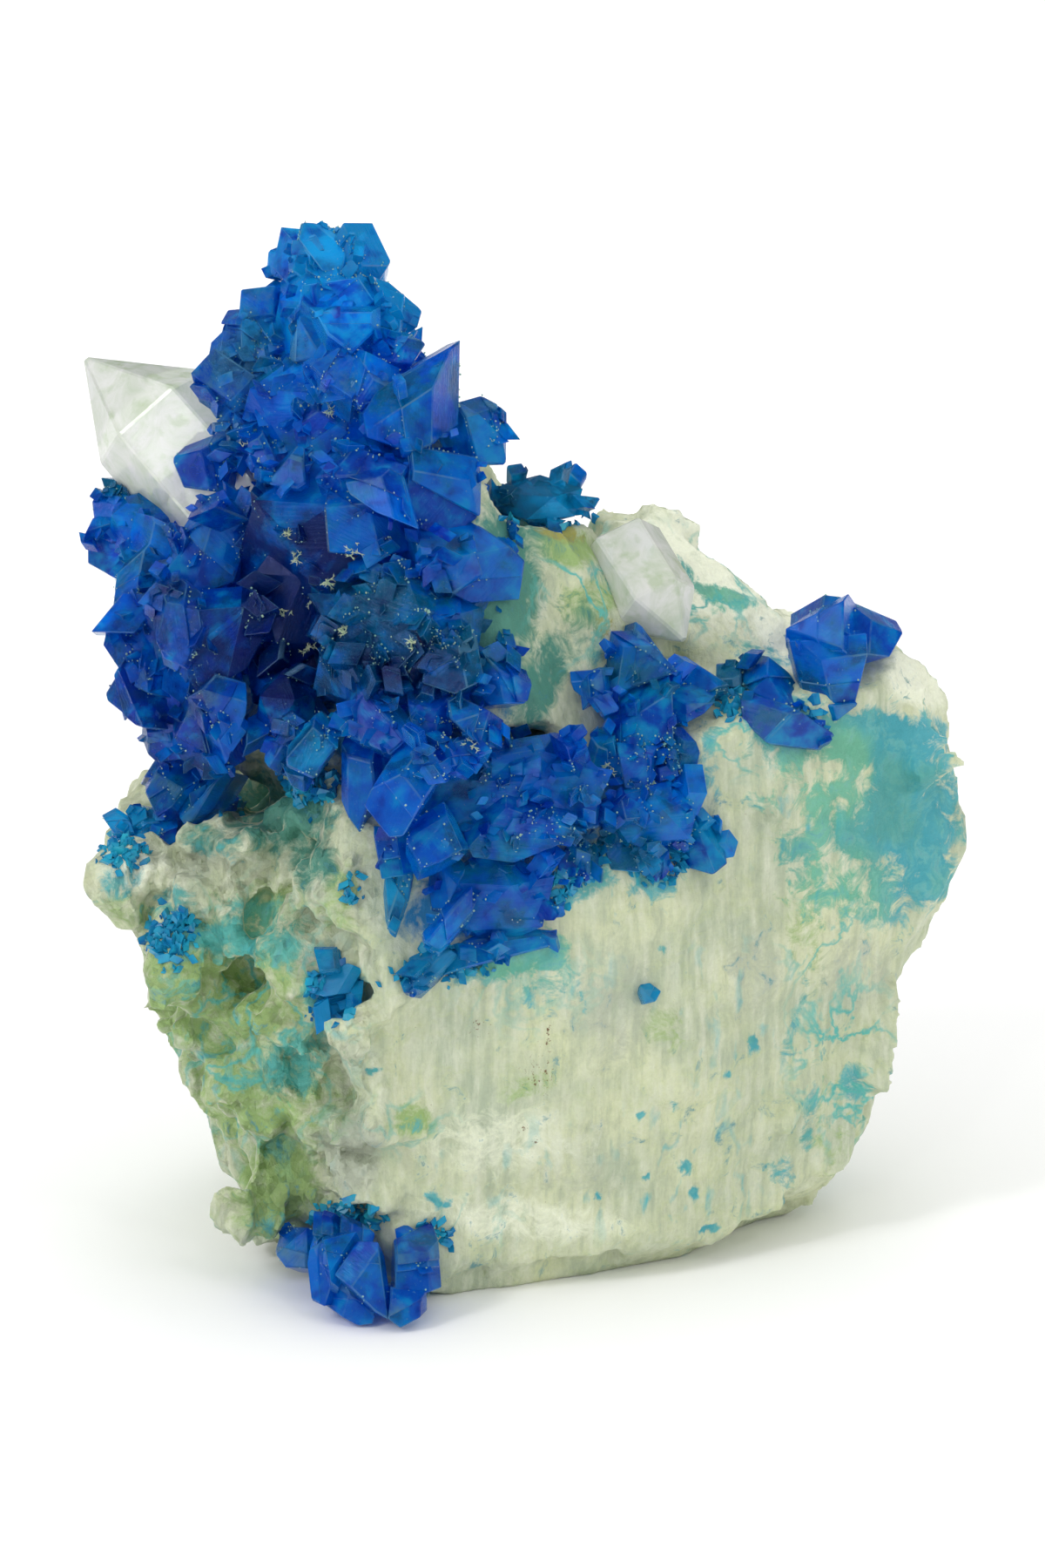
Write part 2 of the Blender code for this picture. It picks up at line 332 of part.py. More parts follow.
def on_front(x, rise, inset):
    """The point seen at x and rise that lies inset behind the front sheet, in metres."""
    back = CORNER_Y + RIGHT_SLOPE * max(0.0, x - CORNER_X) + LEFT_SLOPE * max(0.0, CORNER_X - x)
    back += SETBACK_SLOPE * max(0.0, rise - SETBACK_RISE)
    return seen(x, back + inset, rise)


SIGHT_LINE = Vector((0, math.cos(SIGHT), -math.sin(SIGHT)))


def clear_of_rock(rock_tree, place, proud):
    """The place, brought forward along the sight line if need be, so that it stands proud of the rock."""
    start = place - SIGHT_LINE * VIEW_REACH * MM
    hit = rock_tree.ray_cast(start, SIGHT_LINE)[0]
    if hit is None:
        return place
    before_rock = (hit - start).length - proud * MM
    return start + SIGHT_LINE * min(VIEW_REACH * MM, before_rock)


def turned(lean, nod, spin):
    """A turn as seen from the showing side: lean to the right, nod to the viewer, spin about the length."""
    degrees = {"Y": lean, "X": nod, "Z": spin}
    turn = Matrix.Rotation(-SIGHT, 3, "X")
    for axis, angle in degrees.items():
        turn = turn @ Matrix.Rotation(math.radians(angle), 3, axis)
    return turn


# Crystal shapes

def face_normals():
    """The direction of each chalcanthite face, from its indices and the unit cell. The c axis is +Z."""
    alpha, beta, gamma = (math.radians(angle) for angle in CELL_ANGLES)
    across = (math.cos(gamma) - math.cos(beta) * math.cos(alpha)) / math.sin(alpha)
    a = Vector((math.sqrt(1 - across ** 2 - math.cos(beta) ** 2), across, math.cos(beta))) * CELL_EDGES[0]
    b = Vector((0, math.sin(alpha), math.cos(alpha))) * CELL_EDGES[1]
    c = Vector((0, 0, 1)) * CELL_EDGES[2]
    volume = a.dot(b.cross(c))
    reciprocal = (b.cross(c) / volume, c.cross(a) / volume, a.cross(b) / volume)
    return {
        face: sum((axis * index for axis, index in zip(reciprocal, face)), Vector()).normalized()
        for face in FACE_REACH
    }


FACE_NORMALS = face_normals()


def cut_body(planes):
    """A closed convex body: what is left of a cube after every (normal, reach) plane has cut it."""
    bm = bmesh.new()
    bmesh.ops.create_cube(bm, size=UNCUT_SIZE)
    for normal, reach in planes:
        everything = bm.verts[:] + bm.edges[:] + bm.faces[:]
        cut = bmesh.ops.bisect_plane(
            bm, geom=everything, plane_co=normal * reach, plane_no=normal, clear_outer=True
        )
        rim = [part for part in cut["geom_cut"] if isinstance(part, bmesh.types.BMEdge)]
        if rim:
            bmesh.ops.edgeloop_fill(bm, edges=rim)
    bmesh.ops.recalc_face_normals(bm, faces=bm.faces)
    return bm


def chalcanthite(chance, width, thickness, length):
    """One crystal with its three pairs of faces, centred on the origin, of that size in millimetres."""
    planes = []
    for face, usual in FACE_REACH.items():
        for side in (1, -1):
            reach = usual * chance.uniform(1 - FACE_VARIES, 1 + FACE_VARIES)
            planes.append((FACE_NORMALS[face] * side, reach))
    bm = cut_body(planes)
    lows = [min(v.co[i] for v in bm.verts) for i in range(3)]
    highs = [max(v.co[i] for v in bm.verts) for i in range(3)]
    wanted = (width, thickness, length)
    for v in bm.verts:
        for i in range(3):
            share = (v.co[i] - lows[i]) / (highs[i] - lows[i]) - 0.5
            v.co[i] = share * wanted[i] * MM
    return bm


def broken_block(chance, width, thickness, length):
    """A rough box of rock with every corner knocked a little out of place."""
    bm = bmesh.new()
    bmesh.ops.create_cube(bm, size=1.0)
    for v in bm.verts:
        for i, size in enumerate((width, thickness, length)):
            v.co[i] *= size * MM * chance.uniform(*CORNER_SHARE)
    return bm


def quartz_crystal(radius, body, point):
    """A six-sided quartz prism that runs down -Z from its six-faced point, whose tip is at the origin."""
    bm = bmesh.new()
    foot = radius * MM
    bmesh.ops.create_cone(
        bm, cap_ends=True, segments=6, radius1=foot, radius2=foot * QUARTZ_TAPER, depth=body * MM
    )
    top = max(bm.faces, key=lambda face: face.calc_center_median().z)
    tip = bmesh.ops.poke(bm, faces=[top])["verts"][0]
    tip.co.z += point * MM
    tip.co.x += QUARTZ_TIP_OFFSET * radius * MM
    bmesh.ops.translate(bm, verts=bm.verts, vec=-tip.co)
    return bm


def hull(corners):
    """The convex block round these (x, back, rise) corners."""
    bm = bmesh.new()
    for corner in corners:
        bm.verts.new(seen(*corner))
    made = bmesh.ops.convex_hull(bm, input=bm.verts)
    inside = [part for part in made["geom_interior"] if isinstance(part, bmesh.types.BMVert)]
    bmesh.ops.delete(bm, geom=inside, context="VERTS")
    bmesh.ops.recalc_face_normals(bm, faces=bm.faces)
    return bm


# Objects and their joining

def fresh_collection(name, hidden=False):
    """A new collection in the scene."""
    collection = bpy.data.collections.new(name)
    bpy.context.scene.collection.children.link(collection)
    collection.hide_render = hidden
    return collection


def add_object(name, bm, collection):
    """An object from a bmesh, with its place in its mesh."""
    mesh = bpy.data.meshes.new(name)
    bm.to_mesh(mesh)
    bm.free()
    made = bpy.data.objects.new(name, mesh)
    collection.objects.link(made)
    return made


def placed(bm, place, turn):
    """The bmesh turned about the origin and moved to its place."""
    bmesh.ops.transform(bm, matrix=Matrix.Translation(place) @ turn.to_4x4(), verts=bm.verts)
    return bm


def helper_objects(name, shapes):
    """Hidden objects, one for each shape, in a collection of their own."""
    helpers = fresh_collection(name, hidden=True)
    for number, bm in enumerate(shapes):
        helper = add_object(f"{name}_{number:03d}", bm, helpers)
        helper.hide_render = True
        helper.display_type = "WIRE"
    return helpers


def evaluated_bmesh(shape):
    """A bmesh of the object with its modifiers applied."""
    bpy.context.view_layer.update()
    graph = bpy.context.evaluated_depsgraph_get()
    mesh = bpy.data.meshes.new_from_object(shape.evaluated_get(graph))
    bm = bmesh.new()
    bm.from_mesh(mesh)
    bpy.data.meshes.remove(mesh)
    return bm


def islands(bm):
    """The separate bodies of a mesh, each as a set of vertices."""
    left = set(bm.verts)
    found = []
    while left:
        island = set()
        edge = [left.pop()]
        while edge:
            vert = edge.pop()
            island.add(vert)
            near = [e.other_vert(vert) for e in vert.link_edges]
            fresh = [v for v in near if v in left]
            left.difference_update(fresh)
            edge.extend(fresh)
        found.append(island)
    return found


def keep_largest(bm):
    """Drops the scraps that a cut has left loose."""
    bodies = sorted(islands(bm), key=len)
    for scrap in bodies[:-1]:
        bmesh.ops.delete(bm, geom=list(scrap), context="VERTS")
    return bm


def material(name, colour, roughness, transmission):
    """A plain material."""
    made = bpy.data.materials.new(name)
    made.use_nodes = True
    shader = made.node_tree.nodes["Principled BSDF"]
    shader.inputs["Base Color"].default_value = colour
    shader.inputs["Roughness"].default_value = roughness
    shader.inputs["Metallic"].default_value = 0.0
    shader.inputs["Transmission Weight"].default_value = transmission
    return made


# The rock

def rock_height(point):
    """How far the rock's surface stands out at a point, in metres: slow lumps and sharp little ledges."""
    lump = noise.noise(point / (LUMP_SIZE * MM))
    near, next_near = noise.voronoi(point / (LEDGE_SIZE * MM))[0][:2]
    return (LUMP_HEIGHT * lump + LEDGE_HEIGHT * (next_near - near - LEDGE_MIDDLE)) * MM


def raised(bm, height):
    """The bmesh with each vertex moved along its normal by height(place)."""
    bm.normal_update()
    moves = [(v, v.normal * height(v.co)) for v in bm.verts]
    for v, move in moves:
        v.co += move
    return bm


def rough_rock(parts, chance):
    """The rock's blocks and ledges as one roughened shape of few faces."""
    bm = bmesh.new()
    shapes = [hull(corners) for corners in BLOCKS]
    for x, rise, inset, lean, nod, spin, width, thickness, length in LEDGES:
        shapes.append(placed(
            broken_block(chance, width, thickness, length), on_front(x, rise, inset), turned(lean, nod, spin)
        ))
    for shape in shapes:
        mesh = bpy.data.meshes.new("block")
        shape.to_mesh(mesh)
        shape.free()
        bm.from_mesh(mesh)
        bpy.data.meshes.remove(mesh)
    rock = add_object("matrix_rock", bm, parts)
    remesh = rock.modifiers.new("join", "REMESH")
    remesh.mode = "VOXEL"
    remesh.voxel_size = ROCK_VOXEL * MM
    fine = raised(keep_largest(evaluated_bmesh(rock)), rock_height)
    rock.modifiers.clear()
    fine.to_mesh(rock.data)
    fine.free()
    fewer = rock.modifiers.new("fewer faces", "DECIMATE")
    bpy.context.view_layer.update()
    fewer.ratio = ROCK_TRIANGLES / (2 * len(rock.data.polygons))
    coarse = keep_largest(evaluated_bmesh(rock))
    rock.modifiers.clear()
    return rock, coarse


def cut_level(bm, height):
    """Cuts everything off that lies lower than this height, in millimetres."""
    everything = bm.verts[:] + bm.edges[:] + bm.faces[:]
    cut = bmesh.ops.bisect_plane(
        bm, geom=everything, plane_co=(0, 0, height * MM), plane_no=(0, 0, -1), clear_outer=True
    )
    rim = [part for part in cut["geom_cut"] if isinstance(part, bmesh.types.BMEdge)]
    if rim:
        bmesh.ops.edgeloop_fill(bm, edges=rim)
    bmesh.ops.recalc_face_normals(bm, faces=bm.faces)
    return bm


def add_skin(bm, helpers):
    """A hidden cutter: the shape grown by the gap that is kept to what grows on it."""
    skin = add_object("skin", raised(bm, lambda point: SKIN * MM), helpers)
    skin.hide_render = True
    skin.display_type = "WIRE"
    return skin


def make_rock(parts, helpers, chance):
    """Makes the rock. Gives its skin, the rock grown by SKIN, and a tree to find its surface with."""
    rock, coarse = rough_rock(parts, chance)
    cut_level(coarse, 0.0)
    coarse.to_mesh(rock.data)
    rock_tree = BVHTree.FromBMesh(coarse)
    rock.data.materials.append(material("quartz rock", ROCK_COLOUR, 0.6, 0.0))
    return add_skin(coarse, helpers), rock_tree


# The crystals

def faced_crystal(rock_tree, inset, swing, tip, depth, outline):
    """A crystal whose showing face has this outline, as a closed block that narrows to the back."""
    middle_x = sum(x for x, rise in outline) / len(outline)
    middle_rise = sum(rise for x, rise in outline) / len(outline)
    middle = clear_of_rock(rock_tree, on_front(middle_x, middle_rise, inset), PROUD_SHARE * depth)
    turn = Matrix.Rotation(-SIGHT, 3, "X")
    turn = turn @ Matrix.Rotation(math.radians(swing), 3, "Z") @ Matrix.Rotation(math.radians(-tip), 3, "X")
    outward = turn @ Vector((0, -1, 0))
    bm = bmesh.new()
    for x, rise in outline:
        x = middle_x + (x - middle_x) * OVERLAP
        rise = middle_rise + (rise - middle_rise) * OVERLAP
        near = seen(x, CORNER_Y, rise)
        front = near + SIGHT_LINE * (middle - near).dot(outward) / SIGHT_LINE.dot(outward)
        bm.verts.new(front)
        bm.verts.new(middle + (front - middle) * BACK_SHARE - outward * depth * MM)
    bmesh.ops.convex_hull(bm, input=bm.verts)
    bmesh.ops.recalc_face_normals(bm, faces=bm.faces)
    return bm


def listed_crystals(rows, rock_tree):
    """The crystals of a table, each in its place."""
    return [faced_crystal(rock_tree, *row[:4], row[4:]) for row in rows]


def lobe_directions(count):
    """Directions spread evenly over a ball."""
    golden = math.pi * (3 - math.sqrt(5))
    for number in range(count):
        up = 1 - 2 * (number + 0.5) / count
        out = math.sqrt(1 - up * up)
        yield Vector((out * math.cos(golden * number), out * math.sin(golden * number), up))


def lobe_crystals(lobe, rock_tree, chance):
    """A lobe's heart and the crystals that stand out of it, but for the side that the listed ones cover."""
    x, rise, inset, across, through, up, count, length = lobe
    centre = clear_of_rock(rock_tree, on_front(x, rise, inset), 0.0)
    radii = Vector((across, through, up)) * MM
    heart = bmesh.new()
    bmesh.ops.create_icosphere(heart, subdivisions=1, radius=1.0)
    bmesh.ops.scale(heart, vec=radii, verts=heart.verts)
    shapes = [placed(heart, centre, Matrix.Identity(3))]
    for direction in lobe_directions(count):
        if direction.dot(SIGHT_LINE) < COVERED_SIDE:
            continue
        place = centre + Vector(r * d for r, d in zip(radii, direction))
        outward = Vector(d / r for r, d in zip(radii, direction)).normalized()
        outward += Vector(chance.uniform(-TILT_VARIES, TILT_VARIES) for _ in range(3))
        turn = outward.to_track_quat("Z", "Y").to_matrix()
        turn = turn @ Matrix.Rotation(chance.uniform(0, math.tau), 3, "Z")
        long = length * chance.uniform(*LENGTH_VARIES)
        thick = long * chance.uniform(*THICKNESS_SHARE)
        shapes.append(placed(
            chalcanthite(chance, thick * chance.uniform(*WIDTH_SHARE), thick, long), place, turn
        ))
    return shapes


def fused(name, shapes, skins, parts, finish):
    """One solid from overlapping crystals, trimmed to what they grow on and clear of the table."""
    cluster = add_object(name, shapes[0], parts)
    if len(shapes) > 1:
        join = cluster.modifiers.new("fuse", "BOOLEAN")
        join.operation = "UNION"
        join.solver = "MANIFOLD"
        join.operand_type = "COLLECTION"
        join.collection = helper_objects(name + "_crystals", shapes[1:])
    for skin in skins:
        trim = cluster.modifiers.new("trim", "BOOLEAN")
        trim.operation = "DIFFERENCE"
        trim.object = skin
    bm = cut_level(keep_largest(evaluated_bmesh(cluster)), TABLE_GAP)
    cluster.modifiers.clear()
    bmesh.ops.dissolve_limit(bm, angle_limit=LEVEL_ANGLE, verts=bm.verts, edges=bm.edges)
    bm.to_mesh(cluster.data)
    bm.free()
    cluster.data.materials.append(finish)
    return cluster


def make_chalcanthite(parts, skins, rock_tree):
    """Makes the main cluster, the druse behind it and the small clusters, each trimmed to the skins."""
    finish = material("chalcanthite", CHALCANTHITE_COLOUR, 0.15, 0.8)
    chance = random.Random(11)
    shapes = listed_crystals(MAIN_CLUSTER, rock_tree)
    for lobe in LOBES:
        shapes.extend(lobe_crystals(lobe, rock_tree, chance))
    fused("chalcanthite_main_cluster", shapes, skins, parts, finish)
    druse = lobe_crystals(BACK_DRUSE, rock_tree, chance)
    fused("chalcanthite_back_druse", druse, skins, parts, finish)
    for name, rows in SMALL_CLUSTERS.items():
        fused(name, listed_crystals(rows, rock_tree), skins, parts, finish)


def make_quartz(parts, helpers, rock_skin):
    """The quartz crystals. Gives their skins."""
    finish = material("clear quartz", QUARTZ_COLOUR, 0.2, 0.5)
    skins = []
    for name, facts in QUARTZ.items():
        body = quartz_crystal(facts["radius"], facts["body"], facts["point"])
        turn = turned(facts["lean"], facts["nod"], facts["spin"]) @ Matrix.Rotation(math.pi, 3, "X")
        placed(body, seen(*facts["tip"]), turn)
        skins.append(add_skin(body.copy(), helpers))
        fused(name, [body], [rock_skin], parts, finish)
    return skins


def main():
    """Clears the scene and makes every part."""
    for old in list(bpy.data.objects):
        bpy.data.objects.remove(old)
    parts = fresh_collection("chalcanthite specimen")
    helpers = fresh_collection("helpers", hidden=True)
    rock_skin, rock_tree = make_rock(parts, helpers, random.Random(5))
    quartz_skins = make_quartz(parts, helpers, rock_skin)
    make_chalcanthite(parts, [rock_skin, *quartz_skins], rock_tree)


main()
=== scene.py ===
import json
import math
import random

import bmesh
import bpy
import numpy as np
from mathutils import Matrix, Vector, noise
from mathutils.bvhtree import BVHTree

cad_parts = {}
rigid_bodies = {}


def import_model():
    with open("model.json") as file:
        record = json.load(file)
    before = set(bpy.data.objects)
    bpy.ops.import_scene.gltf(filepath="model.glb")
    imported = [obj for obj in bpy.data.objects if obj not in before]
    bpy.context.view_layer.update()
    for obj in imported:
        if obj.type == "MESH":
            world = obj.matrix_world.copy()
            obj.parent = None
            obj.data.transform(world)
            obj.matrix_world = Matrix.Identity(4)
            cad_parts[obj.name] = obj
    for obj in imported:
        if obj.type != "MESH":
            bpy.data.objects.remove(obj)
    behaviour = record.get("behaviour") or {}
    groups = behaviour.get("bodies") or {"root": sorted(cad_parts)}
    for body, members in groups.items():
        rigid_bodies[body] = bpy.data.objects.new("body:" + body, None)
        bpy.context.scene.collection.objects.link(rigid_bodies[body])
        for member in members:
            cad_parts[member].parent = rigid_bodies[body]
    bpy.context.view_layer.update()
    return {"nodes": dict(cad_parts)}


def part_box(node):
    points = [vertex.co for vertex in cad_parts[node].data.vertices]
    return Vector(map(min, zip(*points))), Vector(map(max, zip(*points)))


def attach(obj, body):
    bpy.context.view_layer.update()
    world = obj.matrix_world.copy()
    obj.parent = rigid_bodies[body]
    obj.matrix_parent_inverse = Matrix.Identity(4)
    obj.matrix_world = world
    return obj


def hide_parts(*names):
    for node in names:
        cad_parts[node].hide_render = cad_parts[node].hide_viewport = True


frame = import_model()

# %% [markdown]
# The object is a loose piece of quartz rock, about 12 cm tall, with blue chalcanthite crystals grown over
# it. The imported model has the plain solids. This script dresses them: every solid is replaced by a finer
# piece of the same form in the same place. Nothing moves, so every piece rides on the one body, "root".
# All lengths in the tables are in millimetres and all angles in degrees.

MM = 0.001
for name in sorted(frame["nodes"]):
    low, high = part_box(name)
    print(name, "is", [round((b - a) / MM, 1) for a, b in zip(low, high)], "mm")

# %% [markdown]
# The specimen shows its crystal side to a viewer who looks down on it a little. It is easier to say where
# a crystal sits as that viewer sees it: x to the right, rise up the picture plane, and how far back. One
# function turns such a place into a point in space, and another puts it on a slanting sheet just in front
# of the rock, so that each crystal only needs to say how far behind that sheet it lies.

# %% Places as the viewer sees them
SIGHT = math.radians(18.0)
SIGHT_LINE = Vector((0, math.cos(SIGHT), -math.sin(SIGHT)))
FOOT_LINE = -13.0  # how far back rise 0 meets the table
VIEW_REACH = 150.0  # further than the rock is deep
CORNER_X = -15.0  # the sheet's standing corner
CORNER_Y = -30.0
RIGHT_SLOPE = 0.40
LEFT_SLOPE = 0.60
SETBACK_RISE = 60.0  # above this the sheet leans back
SETBACK_SLOPE = 0.42


def seen(x, back, rise):
    """The point that shows at x and rise and lies that far back, in metres."""
    z = rise / math.cos(SIGHT) - (back - FOOT_LINE) * math.tan(SIGHT)
    return Vector((x, back, z)) * MM


def on_front(x, rise, inset):
    """The point seen at x and rise that lies inset behind the front sheet, in metres."""
    back = CORNER_Y + RIGHT_SLOPE * max(0.0, x - CORNER_X) + LEFT_SLOPE * max(0.0, CORNER_X - x)
    back += SETBACK_SLOPE * max(0.0, rise - SETBACK_RISE)
    return seen(x, back + inset, rise)


def as_seen(points):
    """Where points, an array in metres, show: their x and rise, in millimetres."""
    x, back, z = (points / MM).T
    return x, (z + (back - FOOT_LINE) * math.tan(SIGHT)) * math.cos(SIGHT)


print("the middle of the view is", seen(0, FOOT_LINE, 55))

# %% [markdown]
# A CAD node's mesh is loose triangles. To find the rock's surface, or to rework its shape, a copy with its
# doubled corners merged is needed. The node itself is left alone.

# %% Copies of the plain solids
MERGE = 0.02 * MM


def merged_copy(node):
    """A bmesh of a CAD node's mesh with its triangles joined up."""
    bm = bmesh.new()
    bm.from_mesh(frame["nodes"][node].data)
    bmesh.ops.remove_doubles(bm, verts=bm.verts, dist=MERGE)
    bmesh.ops.recalc_face_normals(bm, faces=bm.faces)
    return bm


def new_object(name, bm):
    """A shown object from a bmesh, with its place in its mesh."""
    mesh = bpy.data.meshes.new(name)
    bm.to_mesh(mesh)
    bm.free()
    made = bpy.data.objects.new(name, mesh)
    bpy.context.scene.collection.objects.link(made)
    return made


def made_plain(shape):
    """Gives the object a plain mesh of what its modifiers make, and removes them."""
    bpy.context.view_layer.update()
    graph = bpy.context.evaluated_depsgraph_get()
    mesh = bpy.data.meshes.new_from_object(shape.evaluated_get(graph))
    shape.modifiers.clear()
    shape.data = mesh


def triangles(mesh):
    """How many triangles a mesh comes to."""
    return sum(len(face.vertices) - 2 for face in mesh.polygons)


plain_rock = merged_copy("matrix_rock")
rock_tree = BVHTree.FromBMesh(plain_rock)
solids = bmesh.new()
for name, node in frame["nodes"].items():
    if not name.startswith("quartz"):
        solids.from_mesh(node.data)
solid_tree = BVHTree.FromBMesh(solids)
solids.free()
print("the plain rock has", len(plain_rock.faces), "faces")

# %% [markdown]
# Materials are trees of nodes. One function adds any node with its settings and its inputs, where an input
# is either a value or a pair that names another node and its output. Colours are written as the eye reads
# them, in hex, and turned into the linear values that the renderer works with.

# %% Nodes and colours


def hex_colour(code):
    """Linear red, green, blue and alpha from an sRGB code such as "1A5FC8"."""
    parts = [int(code[i:i + 2], 16) / 255 for i in (0, 2, 4)]
    return (*[p / 12.92 if p <= 0.04045 else ((p + 0.055) / 1.055) ** 2.4 for p in parts], 1.0)


def add_node(tree, kind, inputs=None, **settings):
    """Adds a node. An input is a value, or a pair of a node and the name or number of its output."""
    node = tree.nodes.new(kind)
    for setting, value in settings.items():
        setattr(node, setting, value)
    for socket, value in (inputs or {}).items():
        if isinstance(value, tuple) and isinstance(value[0], bpy.types.Node):
            tree.links.new(value[0].outputs[value[1]], node.inputs[socket])
        else:
            node.inputs[socket].default_value = value
    return node


def new_material(name):
    """An empty material, its tree and its output node."""
    made = bpy.data.materials.new(name)
    made.use_nodes = True
    made.node_tree.nodes.clear()
    return made, made.node_tree, add_node(made.node_tree, "ShaderNodeOutputMaterial")


print("a royal blue in linear values:", [round(v, 3) for v in hex_colour("1A4FC8")])

# %% [markdown]
# Chalcanthite is triclinic: no two of its crystal axes meet at a right angle, which is why its blocks look
# like leaning, sheared boxes. The directions of its faces follow from the unit cell, so the small crystals
# that fill the gaps are cut with three or four pairs of real face directions. A convex body is made by
# cutting a cube with one plane after another and closing each cut.

# %% The directions of chalcanthite's faces
CELL_EDGES = (0.572, 1.0, 0.557)
CELL_ANGLES = (97.6, 107.2, 77.4)
FACE_REACH = {(1, 1, 0): 1.0, (1, -1, 0): 1.05, (-1, 1, 1): 1.3, (1, 0, 0): 1.12}
FACE_VARIES = 0.16
UNCUT_SIZE = 8.0  # wider than any crystal before it is scaled


def face_normals():
    """The direction of each face, from its indices and the unit cell. The c axis is +Z."""
    alpha, beta, gamma = (math.radians(angle) for angle in CELL_ANGLES)
    across = (math.cos(gamma) - math.cos(beta) * math.cos(alpha)) / math.sin(alpha)
    a = Vector((math.sqrt(1 - across ** 2 - math.cos(beta) ** 2), across, math.cos(beta))) * CELL_EDGES[0]
    b = Vector((0, math.sin(alpha), math.cos(alpha))) * CELL_EDGES[1]
    c = Vector((0, 0, 1)) * CELL_EDGES[2]
    volume = a.dot(b.cross(c))
    reciprocal = (b.cross(c) / volume, c.cross(a) / volume, a.cross(b) / volume)
    return {
        face: sum((axis * index for axis, index in zip(reciprocal, face)), Vector()).normalized()
        for face in FACE_REACH
    }


FACE_NORMALS = face_normals()


def cut_by(bm, normal, point):
    """Cuts off what lies beyond a plane and closes the cut."""
    everything = bm.verts[:] + bm.edges[:] + bm.faces[:]
    cut = bmesh.ops.bisect_plane(bm, geom=everything, plane_co=point, plane_no=normal, clear_outer=True)
    rim = [part for part in cut["geom_cut"] if isinstance(part, bmesh.types.BMEdge)]
    if rim:
        bmesh.ops.edgeloop_fill(bm, edges=rim)


def small_crystal(chance, width, thickness, length):
    """A crystal with three or four pairs of faces, centred on the origin, of that size in millimetres."""
    bm = bmesh.new()
    bmesh.ops.create_cube(bm, size=UNCUT_SIZE)
    for face, usual in FACE_REACH.items():
        for side in (1, -1):
            reach = usual * chance.uniform(1 - FACE_VARIES, 1 + FACE_VARIES)
            cut_by(bm, FACE_NORMALS[face] * side, FACE_NORMALS[face] * side * reach)
    bmesh.ops.recalc_face_normals(bm, faces=bm.faces)
    lows = Vector(min(v.co[i] for v in bm.verts) for i in range(3))
    highs = Vector(max(v.co[i] for v in bm.verts) for i in range(3))
    for v in bm.verts:
        for i, size in enumerate((width, thickness, length)):
            v.co[i] = ((v.co[i] - lows[i]) / (highs[i] - lows[i]) - 0.5) * size * MM
    return bm


print("the angle between the two prism faces is",
      round(math.degrees(FACE_NORMALS[1, 1, 0].angle(FACE_NORMALS[1, -1, 0])), 1))

# %% [markdown]
# The large crystals can be told apart one by one, so each is a row of a table: how far behind the sheet its
# showing face lies, how far that face swings to the right and tips up, how deep the crystal is, and the
# corners of the face as the viewer sees them. The corners are thrown along the line of sight on to the
# slanting face, and the block narrows a little to the back.

